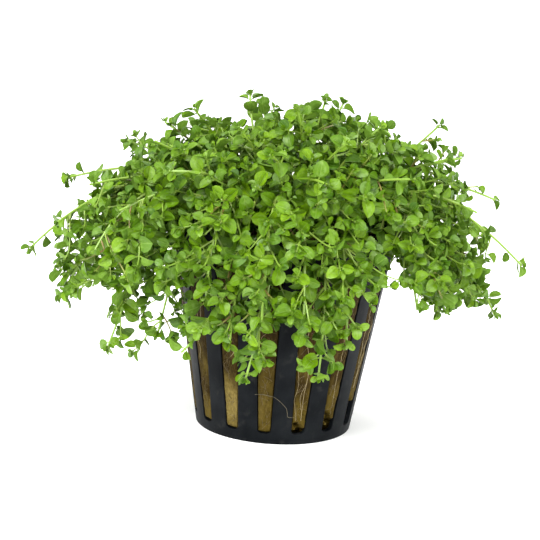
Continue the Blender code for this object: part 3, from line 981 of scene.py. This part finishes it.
def first_route(foot, tip):
    """Points along a Bezier curve that leaves the wool upwards, arches outwards and comes to the tip."""
    x, y, z, lift, drop, swing = tip
    foot = np.array([*foot, wool_height(math.hypot(*foot)) + TOUCHING_GAP])
    end = np.array([x, y, z])
    across = end - foot
    across[2] = 0
    sideways = np.array([-across[1], across[0], 0]) / max(np.linalg.norm(across), MM)
    slant = LAST_HANDLE_SLANT * (1 - drop / HANGING_DROP)
    first = foot + FIRST_HANDLE_SLANT * across + [0, 0, lift]
    last = end - slant * across + sideways * swing + [0, 0, drop]
    return bezier(foot, first, last, end, ROUTE_POINTS)


def clear_of_rim(points):
    """Takes the points too near the pot's rim out of its way: up, out or in, whichever is shortest."""
    inner = pot_radius(WOOL_SHOULDER) - POT_WALL - RIM_CLEARANCE
    outer = POT_RIM_RADIUS + LIP_WIDTH + RIM_CLEARANCE
    radius = np.linalg.norm(points[..., :2], axis=-1)
    ways = np.stack([POT_HEIGHT + RIM_CLEARANCE - points[..., 2], outer - radius, radius - inner])
    near = ways.min(axis=0) > 0
    shortest = ways.argmin(axis=0)
    rise = near & (shortest == 0)
    points[rise, 2] += ways[0][rise]
    for way, goal in ((1, outer), (2, inner)):
        aside = near & (shortest == way)
        points[aside, :2] *= (goal / radius[aside])[:, None]


def combed(routes):
    """Pushes the routes apart wherever two stems come too close, with their feet and tips held."""
    routes = np.array(routes)
    owners = np.repeat(np.arange(len(routes)), ROUTE_POINTS)
    for _ in range(COMB_STROKES):
        moved = moves_apart(routes.reshape(-1, 3), owners, STEM_SPACING, 3).reshape(routes.shape)
        moved[:, (0, -1)] = 0
        routes = routes + moved
        between = (routes[:, :-2] + routes[:, 2:]) / 2
        routes[:, 1:-1] += (between - routes[:, 1:-1]) * COMB_SMOOTHING
        clear_of_rim(routes[:, 1:-1])
    return routes


routes = combed([first_route(foot, tip) for foot, tip in zip(all_feet(tips), tips)])
for name, route in zip(names, routes):
    low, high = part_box(name)
    inside = all(low[k] - MM < route[-1][k] < high[k] + MM for k in range(3))
    if not inside:
        print("the tip isn't in its solid:", name)
longest = max(np.linalg.norm(np.diff(route, axis=0), axis=1).sum() for route in routes)
print("routes:", len(routes), "longest in mm:", round(longest / MM))

# %% [markdown]
# ## One leaf
#
# A leaf is about 4 mm long: a short stalk and a nearly round blade with a slightly pointed tip, folded along
# its midrib, with a soft swelling on each side of it. It could be a flat card with a picture of a leaf, but
# then its rim would show as squares and its shine would be flat. So it is a small closed mesh: a tube of six
# points a ring, five on the upper side and one below the midrib. It is described once, for a length of one.
# The heights come as three shares, for folding, for curling and for the fixed relief, so that every leaf can
# have its own bend.

# %% Describe one leaf
LEAF_COLUMNS = (-1.0, -0.5, 0.0, 0.5, 1.0)
SHARP_FOLD = 0.5
STALK_LENGTH = 0.15
STALK_HALF_WIDTH = 0.042
BLADE_HALF_WIDTH = 0.41
BLADE_TURNS_DEG = (24, 52, 82, 114, 146)
BLADE_WIDEST = 0.03
BLADE_FULLNESS = 0.9
BLADE_POINT = 0.22
LEAF_THICKNESS = 0.045
LEAF_SWELLING = 0.035


def leaf_rows():
    """The place along the leaf and the half width of each row, from the foot of the stalk to near the tip."""
    rows = [(0.0, STALK_HALF_WIDTH), (STALK_LENGTH, STALK_HALF_WIDTH)]
    for turn_deg in BLADE_TURNS_DEG:
        turn = math.radians(turn_deg)
        along = (1 - math.cos(turn)) / 2 + BLADE_WIDEST * math.sin(turn) ** 2
        half = BLADE_HALF_WIDTH * math.sin(turn) ** BLADE_FULLNESS * (1 - BLADE_POINT * along**3)
        rows.append((STALK_LENGTH + (1 - STALK_LENGTH) * along, half))
    return rows


def leaf_pattern():
    """The leaf's points, ring by ring: along, across, three shares of height, and the column of each."""
    points = []
    for along, half in leaf_rows():
        wide = half / BLADE_HALF_WIDTH
        curl = max(0, along - STALK_LENGTH) ** 2
        for column in LEAF_COLUMNS:
            fold = (SHARP_FOLD * abs(column) + (1 - SHARP_FOLD) * column**2) * wide
            swelling = LEAF_SWELLING * wide * (1 - abs(2 * abs(column) - 1))
            points.append((along, half * column, fold, curl, swelling, column))
        points.append((along, 0.0, 0.0, curl, -LEAF_THICKNESS, 0.0))
    points.append((1.0, 0.0, 0.0, (1 - STALK_LENGTH) ** 2, 0.0, 0.0))
    return np.array(points)


def leaf_faces():
    """The faces of the closed leaf, and a finish number for each: 0 on the upper side and 1 on the lower."""
    rows = len(leaf_rows())
    around = len(LEAF_COLUMNS) + 1
    faces = [list(range(around))[::-1]]
    finishes = [1]
    for row in range(rows):
        for k in range(around):
            low = [row * around + k, row * around + (k + 1) % around]
            high = [corner + around for corner in reversed(low)] if row < rows - 1 else [rows * around]
            faces.append(low + high)
            finishes.append(0 if k < around - 2 else 1)
    return faces, finishes


LEAF = leaf_pattern()
LEAF_FACES, LEAF_FINISHES = leaf_faces()
LEAF_MAP = np.stack([LEAF[:, 0], LEAF[:, 5] * 0.5 + 0.5], axis=1)
print("points in a leaf:", len(LEAF), "triangles:", sum(len(face) - 2 for face in LEAF_FACES))

# %% [markdown]
# ## Growing the shoots
#
# The plant has one rule. A stem carries leaves in pairs, each pair across the one before, and ends in a small
# rosette. In the corner of a leaf a side twig can start, which follows the same rule. Stems and twigs are
# both an `Axis` here, which tells where it is and which way it points at any length from its foot. The bush
# is nearly a dome, and how deep a place lies in it sets how much painted shade the leaves there get.

# %% Describe an axis, and the dome round them all
FULLER_LEFT = 2.5 * MM
TOP_LEAN = 0.14
LIGHT_FROM_SIDE = 0.9


class Axis:
    """A stem or a twig: a path read by its length, with a side direction that doesn't turn round it."""

    def __init__(self, path):
        self.path = np.asarray(path, float)
        self.along = directions(self.path)
        self.sides = side_directions(self.along)
        self.lengths = np.concatenate([[0], np.cumsum(np.linalg.norm(np.diff(self.path, axis=0), axis=1))])
        self.length = self.lengths[-1]

    def read(self, values, where):
        return np.array([np.interp(where, self.lengths, values[:, k]) for k in range(3)]).T

    def at(self, where):
        """The point, the direction and the side direction at a length from the foot."""
        direction = unit(self.read(self.along, where))
        side = self.read(self.sides, where)
        return self.read(self.path, where), direction, unit(side - direction * side.dot(direction))


def dome_lean(z):
    """How far right of the pot the dome's middle is: it is fuller at its left, and leans over at its top."""
    return TOP_LEAN * max(0.0, z - CANOPY_MIDDLE) - FULLER_LEFT


def dome_depth(point):
    """How far out a point is from the dome's middle: 1 is on its surface."""
    x = (point[0] - dome_lean(point[2])) / CANOPY_RADIUS
    y = point[1] / CANOPY_RADIUS / CANOPY_DEPTH_SHARE
    return math.hypot(x, y, (point[2] - CANOPY_MIDDLE) / CANOPY_RISE)


def towards_light(point):
    """Up and outwards, which is where the light comes from for a leaf at this point."""
    outward = np.array([point[0], point[1], 0])
    return unit(unit(outward) * LIGHT_FROM_SIDE + [0, 0, 1])


stems = [Axis(route) for route in routes]
print("light for a leaf at the right side:", towards_light(np.array([1.0, 0, 0])).round(2))

# %% [markdown]
# ## What is in the way
#
# Leaves and twigs keep clear of the pot and of the wool. They also keep out of some gaps, through which the
# ground shows in the real bush. Each gap is a round tunnel that follows the camera's view, given by its place
# in front of the plant, its place behind it, and its radius.

# %% Keep clear of the pot and of the gaps
POT_MARGIN = 0.35 * MM
RIM_MIDDLE = 47.5 * MM
RIM_HALF_HEIGHT = 2.5 * MM
LOWEST_PLACE = 1.5 * MM


def hits_pot(points):
    """Whether any of the points lies in the pot's wall, in its lip or in the wool."""
    radius = np.linalg.norm(points[..., :2], axis=-1)
    z = points[..., 2]
    in_wall = (radius < pot_radius(z) + POT_MARGIN) & (z < WOOL_SHOULDER)
    in_wool = (radius < POT_RIM_RADIUS) & (z < wool_height(radius) + POT_MARGIN)
    inner = pot_radius(z) - POT_WALL - POT_MARGIN
    outer = POT_RIM_RADIUS + LIP_WIDTH + POT_MARGIN
    in_rim = (radius > inner) & (radius < outer) & (abs(z - RIM_MIDDLE) < RIM_HALF_HEIGHT + POT_MARGIN)
    return bool(np.any(in_wall | in_wool | in_rim | (z < LOWEST_PLACE)))


# A gap's x and z in front (at y = -30), its x and z behind (at y = 30), and its radius, in mm
GAPS = (
    (27.1, 33.6, 31.2, 18.3, 3.3),
    (25.9, 38.1, 29.8, 23.4, 3.3),
    (28.9, 39.7, 33.2, 25.2, 1.4),
    (25.0, 46.3, 28.9, 32.7, 1.3),
    (51.7, 54.0, 59.2, 41.5, 1.5),
    (48.9, 55.9, 56.0, 43.7, 1.8),
    (43.0, 60.3, 49.3, 48.6, 2.7),
    (40.3, 61.2, 46.2, 49.7, 1.4),
    (47.6, 52.6, 54.5, 40.0, 2.0),
    (42.1, 68.7, 48.2, 58.2, 2.1),
    (40.0, 70.4, 45.8, 60.1, 2.0),
    (27.6, 77.4, 31.8, 68.1, 2.6),
    (-42.5, 29.1, -47.9, 13.2, 3.3),
    (-41.3, 34.9, -46.6, 19.8, 2.9),
    (-38.5, 35.5, -43.3, 20.5, 1.7),
    (-38.8, 28.1, -43.8, 12.1, 2.0),
    (-27.6, 22.3, -31.0, 5.5, 3.3),
    (-22.8, 20.5, -25.5, 3.4, 2.7),
    (-26.6, 34.2, -29.8, 19.0, 1.5),
    (-55.2, 50.5, -62.4, 37.5, 2.2),
    (-49.2, 56.3, -55.6, 44.1, 2.1),
    (-45.4, 59.9, -51.2, 48.2, 2.0),
    (-37.9, 66.8, -42.8, 56.0, 1.7),
    (-29.9, 73.7, -33.6, 63.9, 2.0),
)
GAP_STARTS = np.array([(x, -30, z) for x, z, *_ in GAPS]) * MM
GAP_ENDS = np.array([(x, 30, z) for *_, x, z, _ in GAPS]) * MM
GAP_WAYS = unit(GAP_ENDS - GAP_STARTS)
GAP_RADII = np.array([radius for *_, radius in GAPS]) * MM


def in_gap(points, margin=0.0):
    """Whether any of the points lies in one of the gaps, or within a margin of one."""
    off = points[:, None] - GAP_STARTS
    along = (off * GAP_WAYS).sum(axis=-1, keepdims=True)
    apart = np.linalg.norm(off - along * GAP_WAYS, axis=-1)
    return bool(np.any(apart < GAP_RADII + margin))


print("gaps:", len(GAPS), "widest in mm:", round(2 * GAP_RADII.max() / MM, 1))

# %% [markdown]
# ## Leaves in pairs
#
# A leaf turns its face partly along its stem and partly towards the light, with some scatter, which makes the
# bush lively. A coarse grid of cells finds the leaves that are near, and a leaf without room is left out. The
# leaves deep inside the bush are painted darker, as painted shade.

# %% Grow leaves along an axis
LEAF_LENGTH = 3.55 * MM
LEAF_LENGTH_SPREAD = 0.65 * MM
LEAF_LENGTH_RANGE = (2.2 * MM, 4.9 * MM)
LEAF_MIDDLE = 0.58
LEAF_ELBOW_ROOM = 0.20
GAP_LEAF_MARGIN = 0.6 * MM
LEAF_OFFSET = 0.2 * MM
LEAN_SCATTER_DEG = 9
LEVELLING = (0.1, 0.6)
GROW_SCATTER = 0.14
FACE_SCATTER = 0.38
LEAF_WIDTHS = (0.8, 1.06)
LEAF_CUPS = (0.06, 0.46)
LEAF_CURL = (0.18, 0.20)
LEAF_TONES = (0.15, 0.5, 1.0)
# Depths in the dome between which a leaf's tone is painted darker, as painted shade
DEEPEST_PAINTED_SHADE_DEPTH = 0.35
PAINTED_SHADE_END_DEPTH = 0.8
PAIR_LEAN_DEG = 22
PAIR_TURN_SCATTER = 0.15
INTERNODE = 4.8 * MM
BARE_STEM_FOOT = 5 * MM
STEM_SEED = 100

# A rosette's pairs: how far below the tip in mm, the leaves' size, and how steeply they lean
ROSETTE = ((0.1, 0.38, 62), (0.5, 0.66, 48), (1.3, 0.88, 30))


class Leaves:
    """All leaves of the plant, kept as rows, and a coarse grid for finding leaves that are too near."""

    def __init__(self):
        self.rows = []
        self.cells = {}

    def cell(self, point):
        return tuple(int(math.floor(c / LEAF_LENGTH)) for c in point)

    def free(self, centre, reach):
        x, y, z = self.cell(centre)
        for i in (x - 1, x, x + 1):
            for j in (y - 1, y, y + 1):
                for k in (z - 1, z, z + 1):
                    for other, other_reach in self.cells.get((i, j, k), ()):
                        if math.dist(centre, other) < reach + other_reach:
                            return False
        return True

    def add(self, owner, base, grow, face, length, values):
        """Keeps a leaf if it has room, and if neither the pot nor a gap is in its way."""
        centre = base + grow * length * LEAF_MIDDLE
        reach = length * LEAF_ELBOW_ROOM
        places = np.stack([centre, base + grow * length])
        if hits_pot(places) or in_gap(places, GAP_LEAF_MARGIN) or not self.free(centre, reach):
            return
        self.cells.setdefault(self.cell(centre), []).append((tuple(centre), reach))
        self.rows.append((owner, *base, *grow, *face, length, *values))


def leaf_pair(leaves, owner, axis, where, turn, size, lean_deg, rng):
    """Two leaves across from each other, each turned towards the light in its own way."""
    point, direction, side = axis.at(where)
    across = side * math.cos(turn) + np.cross(direction, side) * math.sin(turn)
    light = towards_light(point)
    # Leaves deep in the bush get a lower tone, which is painted shade.
    depth = (dome_depth(point) - DEEPEST_PAINTED_SHADE_DEPTH) / (PAINTED_SHADE_END_DEPTH - DEEPEST_PAINTED_SHADE_DEPTH)
    painted_light_share = min(1.0, max(0.1, depth))
    for outward in (across, -across):
        lean = math.radians(lean_deg + rng.normal(0, LEAN_SCATTER_DEG))
        grow = outward * math.cos(lean) + direction * math.sin(lean)
        level = grow - light * grow.dot(light) * rng.uniform(*LEVELLING)
        grow = unit(level + rng.normal(0, GROW_SCATTER, 3))
        face = direction * 0.5 + light * 0.5 + rng.normal(0, FACE_SCATTER, 3)
        face = unit(face - grow * face.dot(grow))
        length = np.clip(rng.normal(LEAF_LENGTH, LEAF_LENGTH_SPREAD), *LEAF_LENGTH_RANGE) * size
        tone = rng.triangular(*LEAF_TONES) * painted_light_share
        values = (rng.uniform(*LEAF_WIDTHS), rng.uniform(*LEAF_CUPS), rng.normal(*LEAF_CURL), tone)
        leaves.add(owner, point + outward * LEAF_OFFSET, grow, face, length, values)


def clothe(leaves, owner, axis, internode, bare, rng):
    """A rosette at the tip of an axis, and pairs down to the bare stretch at its foot."""
    turn = rng.uniform(0, math.pi)
    for down_mm, size, lean_deg in ROSETTE:
        leaf_pair(leaves, owner, axis, axis.length - down_mm * MM, turn, size, lean_deg, rng)
        turn += math.pi / 2
    where = axis.length - (ROSETTE[-1][0] * MM + internode * 0.7)
    while where > bare:
        turned = turn + rng.normal(0, PAIR_TURN_SCATTER)
        leaf_pair(leaves, owner, axis, where, turned, 1.0, PAIR_LEAN_DEG, rng)
        turn += math.pi / 2
        where -= internode * rng.uniform(0.85, 1.15)


leaves = Leaves()
for number, stem in enumerate(stems):
    clothe(leaves, number, stem, INTERNODE, BARE_STEM_FOOT, np.random.default_rng(STEM_SEED + number))
print("leaves on the main stems:", len(leaves.rows))

# %% [markdown]
# ## Twigs that grow to places
#
# Random twigs would leave bare patches in one place and tangles in another. So each twig grows to a place,
# bent from the stem below it. Places at the bush's edge are listed one by one, so that the outline is the
# real one's. Other places are thrown round each stem and then over the whole dome, and one is kept if it is
# far enough from all that are taken.

# %% Helpers for twigs
TWIG_INTERNODE = 3.4 * MM
BARE_TWIG_FOOT = 1.8 * MM
FIRST_TWIG_PLACE = 2 * MM
TWIG_SETS_OFF = (0.55, 0.6)
TWIG_HANDLES = (0.42, 0.33)
TWIG_TO_LIGHT = 0.55
TWIG_SHARES = (0.22, 0.97)
TWIG_REACH = (3.0 * MM, 9.0 * MM)
LOWEST_TWIG = 2.5 * MM
FREE_TIP_REACH = 4.5 * MM
TWIG_SPACING = 4.0 * MM
TWIG_TRIES = 75
TWIG_STEP = 1.4 * MM
DOME_TRIES = 7000
DOME_DEPTHS = (0.66, 0.93)
DOME_SPACING = 4.5 * MM
DOME_HEM_SHARE = 0.92
FULL_DOME = 0.93
LONGEST_TWIG = 15 * MM

# Twigs that end at the bush's edge and close to the pot, by the places of their tips in mm
EDGE_TWIGS = (
    (-33, -24, 27), (-33, -24, 22), (-30, -24, 29), (-29, -24, 23), (-26, -24, 22), (-24, -24, 26),
    (-23, -26, 21), (-21, -26, 28), (-21.5, -24, 31), (-53, 2, 42), (-52, 2, 36), (-51, 2, 29.5),
    (-50, 2, 39), (-49, 2, 32.5), (15.5, 6, 73), (19, 6, 73), (22.5, 6, 72), (25, 6, 69.5),
    (34.5, 6, 70), (37, 6, 67.5), (40, 6, 66), (42, 6, 63.5), (44.5, 6, 61), (39, 6, 64),
    (46, 0, 46.5), (48, 0, 43), (47, 0, 39.5), (23.5, -17, 33), (23, -19, 29.5), (22, -21, 31.5),
    (-36.5, 6, 66.5), (-28, 6, 69.5), (-51.5, 4, 55), (-53.5, 2, 34), (-52, 2, 27.5), (-31, -20, 36.5),
    (-38.5, -24, 30), (-22, -24, 24.5), (20.5, 2, 68.5), (45, 2, 60), (51.5, 0, 42.5), (50, 0, 33),
)


def twig_path(stem, where, goal):
    """A bent path from a place on the stem to a goal: it leaves along the stem and ends towards the light."""
    start, direction, _ = stem.at(where)
    way = goal - start
    reach = np.linalg.norm(way)
    outward = unit(way - direction * way.dot(direction))
    sets_off = unit(direction * TWIG_SETS_OFF[0] + outward * TWIG_SETS_OFF[1])
    arrives = unit(way / reach + towards_light(goal) * TWIG_TO_LIGHT)
    first = start + sets_off * reach * TWIG_HANDLES[0]
    last = goal - arrives * reach * TWIG_HANDLES[1]
    return bezier(start, first, last, goal, max(4, int(reach / TWIG_STEP) + 2))


def twig_goals(stem, taken, rng):
    """Places for twig tips round the outer part of a stem, each far enough from all that are taken."""
    goals = []
    for _ in range(TWIG_TRIES):
        share = rng.uniform(*TWIG_SHARES)
        point, direction, _ = stem.at(stem.length * share)
        furthest = blend(TWIG_REACH[1], FREE_TIP_REACH, share**3)
        aside = unit(rng.normal(size=3) + towards_light(point) * 0.45)
        aside = unit(aside - direction * aside.dot(direction) * 0.7)
        reach = rng.uniform(TWIG_REACH[0], furthest)
        goal = point + aside * reach
        if dome_depth(goal) > FULL_DOME or goal[2] < stem.path[-1][2] + LOWEST_TWIG:
            continue
        if min(math.dist(goal, other) for other in taken) > TWIG_SPACING and not hits_pot(goal[None]):
            taken.append(tuple(goal))
            goals.append((max(FIRST_TWIG_PLACE, stem.length * share - reach * 1.1), goal))
    return goals


def dome_goals(taken, rng):
    """Places near the dome's surface that no twig reaches yet."""
    goals = []
    for _ in range(DOME_TRIES):
        share = rng.uniform(0, DOME_HEM_SHARE)
        goal = np.array(dome_place(rng.uniform(0, 2 * math.pi), share, rng.uniform(*DOME_DEPTHS)))
        goal[0] += dome_lean(goal[2])
        apart = np.linalg.norm(np.array(taken) - goal, axis=1).min()
        if apart > DOME_SPACING and not hits_pot(goal[None]) and not in_gap(goal[None]):
            taken.append(tuple(goal))
            goals.append(goal)
    return goals


def nearest_stem(goal):
    """The stem that passes nearest to a goal on its way there, and where on it a twig can start."""
    points = np.concatenate([stem.path for stem in stems])
    ways = np.concatenate([stem.along for stem in stems])
    reach = np.linalg.norm(points - goal, axis=1)
    ahead = ((goal - points) * ways).sum(axis=1)
    reach = np.where(ahead > 0.2 * reach, reach, LONGEST_TWIG)
    number, row = divmod(int(reach.argmin()), ROUTE_POINTS)
    where = max(FIRST_TWIG_PLACE, stems[number].lengths[row] - reach.min() * 0.4)
    return number, where, reach.min() < LONGEST_TWIG


def grow_twig(number, where, goal, rng):
    """Adds one twig to a shoot, with its leaves, if neither the pot nor a gap is in its way."""
    path = twig_path(stems[number], where, goal)
    if not hits_pot(path) and not in_gap(path):
        twig = Axis(path)
        twigs.append((number, twig))
        clothe(leaves, number, twig, TWIG_INTERNODE, BARE_TWIG_FOOT, rng)


print("places for twigs set by hand:", len(EDGE_TWIGS))

# %% [markdown]
# ## Sending the twigs out
#
# The twigs at the edge grow first, because the outline matters most and an early twig finds the most room.
# Then come those near the stems, and last those that fill what is still bare under the dome's surface.

# %% Send twigs out from the stems
EDGE_SEED = 300
TWIG_SEED = 200
DOME_SEED = 301

twigs = []
taken = [tuple(route[-1]) for route in routes]
rng = np.random.default_rng(EDGE_SEED)
for place in EDGE_TWIGS:
    goal = np.array(place) * MM
    number, where, near = nearest_stem(goal)
    if near:
        taken.append(tuple(goal))
        grow_twig(number, where, goal, rng)
print("twigs at the edge:", len(twigs), "of", len(EDGE_TWIGS))
for number, stem in enumerate(stems):
    rng = np.random.default_rng(TWIG_SEED + number)
    for where, goal in twig_goals(stem, taken, rng):
        grow_twig(number, where, goal, rng)
print("twigs near the stems:", len(twigs), "leaves:", len(leaves.rows))

rng = np.random.default_rng(DOME_SEED)
for goal in dome_goals(taken, rng):
    number, where, near = nearest_stem(goal)
    if near:
        grow_twig(number, where, goal, rng)
print("twigs in all:", len(twigs), "leaves in all:", len(leaves.rows))

# %% [markdown]
# ## The green finishes
#
# A leaf lets light through, so it is part Principled and part Translucent. The veins are paler: the midrib
# runs down the middle, and a vein on each side bows out with the rim. The leaf's map goes along it and across
# it, so each vein is a line at a fixed place across. Every leaf has its own tone between fresh and deep
# green. Stems are paler, and their feet and some old twigs are brown.

# %% Mix the greens
GLOW_SHARE = 0.20


def leaf_green(name, deep, fresh, gloss, roughness):
    green = Finish(name, Specular_IOR_Level=gloss)
    place = green.node("ShaderNodeUVMap", {"uv_map": "across"})
    along = green.node("ShaderNodeSeparateXYZ", None, {0: place}, output=0)
    across = abs(green.node("ShaderNodeSeparateXYZ", None, {0: place}, output=1) * 2 - 1)
    tone = green.node("ShaderNodeAttribute", {"attribute_name": "tone"}, output=2)
    midrib = across.step(0.10, 0.02)
    side_vein = abs(across - 0.50).step(0.09, 0.01) * along.step(1.0, 0.6)
    vein = midrib * 0.8 + side_vein * 0.4
    cell = green.noise(0.5 * MM, 3)
    # Paler patches across a leaf's middle are a painted sheen, standing in for soft highlights.
    painted_sheen = green.noise(1.2 * MM, 2).step(0.48, 0.70) * across.step(0.95, 0.35)
    colour = green.mix(tone, deep, fresh)
    colour = green.mix(cell.step(0.35, 0.7) * 0.3, colour, deep)
    colour = green.mix(painted_sheen * 0.4, colour, (0.220, 0.350, 0.075))
    colour = green.mix(vein * 0.4, colour, (0.260, 0.400, 0.080))
    stalk = along.step(0.22, 0.08)
    green.set(
        Base_Color=green.mix(stalk * 0.8, colour, (0.250, 0.360, 0.060)),
        Roughness=roughness + cell * 0.16,
        Normal=green.bump(cell * 0.35 + vein * -0.5, 0.10 * MM),
    )
    glow = green.node("ShaderNodeBsdfTranslucent", None, {"Color": (0.200, 0.360, 0.012)})
    surface = Wire(green, green.shader.outputs[0])
    both = green.node("ShaderNodeMixShader", None, {0: GLOW_SHARE, 1: surface, 2: glow})
    green.tree.links.new(both.socket, green.tree.nodes["Material Output"].inputs["Surface"])
    return green


def stem_green():
    green = Finish("stem_green", Roughness=0.42)
    tone = green.node("ShaderNodeAttribute", {"attribute_name": "tone"}, output=2)
    streak = green.noise(0.9 * MM, 3)
    colour = green.mix(tone, (0.160, 0.280, 0.022), (0.230, 0.275, 0.055))
    colour = green.mix(tone.step(0.6, 1.0) * 0.85, colour, (0.160, 0.085, 0.020))
    green.set(Base_Color=green.mix(streak.step(0.4, 0.75) * 0.4, colour, (0.120, 0.230, 0.020)))
    return green


greens = [
    leaf_green("leaf_upper_side", (0.016, 0.075, 0.001), (0.165, 0.300, 0.003), 0.28, 0.30),
    leaf_green("leaf_under_side", (0.050, 0.122, 0.008), (0.170, 0.300, 0.030), 0.12, 0.50),
    stem_green(),
]
print("greens:", [green.material.name for green in greens])

# %% [markdown]
# ## Building the shoots
#
# Each shoot becomes one mesh: its stem, its twigs and its leaves. The leaves of a shoot are worked out
# together, as one block of numbers: each leaf's length, width, cupping and curl turn the pattern's shares
# into points, and its three directions place them. About one twig in six is an old brown one.

# %% Build one piece for each shoot
STEM_RADII = (0.42 * MM, 0.25 * MM)
TWIG_RADII = (0.23 * MM, 0.15 * MM)
BROWN_TWIG_SHARE = 0.18
BROWN_TWIG_TONE = 0.6
BROWN_SEED = 400


def place_leaves(rows):
    """The points of many leaves at once, from their rows."""
    rows = np.array(rows)
    base, grow, face = rows[:, 1:4], rows[:, 4:7], rows[:, 7:10]
    length, width, cup, curl = (rows[:, k, None] for k in (10, 11, 12, 13))
    height = cup * LEAF[:, 2] - curl * LEAF[:, 3] + LEAF[:, 4]
    steps = np.stack([np.broadcast_to(LEAF[:, 0], height.shape), width * LEAF[:, 1], height], axis=-1)
    axes = np.stack([grow, np.cross(grow, face), face], axis=1)
    return base[:, None] + length[..., None] * (steps @ axes)


def build_shoot(number, name):
    shape = Shape()
    stem = stems[number]
    path = smooth_path(stem.path, 3 * ROUTE_POINTS)
    share = np.linspace(0, 1, len(path))
    shape.tube(path, blend(*STEM_RADII, share), 7, 2, 1 - share)
    rng = np.random.default_rng(BROWN_SEED + number)
    for owner, twig in twigs:
        if owner == number:
            share = np.linspace(0, 1, len(twig.path))
            brown = BROWN_TWIG_TONE if rng.random() < BROWN_TWIG_SHARE else 0
            tones = np.clip(0.5 - share * 0.5 + brown, 0, 1)
            shape.tube(twig.path, blend(*TWIG_RADII, share), 5, 2, tones)
    rows = [row for row in leaves.rows if row[0] == number]
    for row, points in zip(rows, place_leaves(rows)):
        shape.add(points, LEAF_FACES, LEAF_FINISHES, LEAF_MAP, row[-1])
    return dress(shape.piece(f"leafy_{name}", greens), "foliage", name)


total = 0
for number, name in enumerate(names):
    total += triangles(build_shoot(number, name))
print("triangles in all shoots:", total)
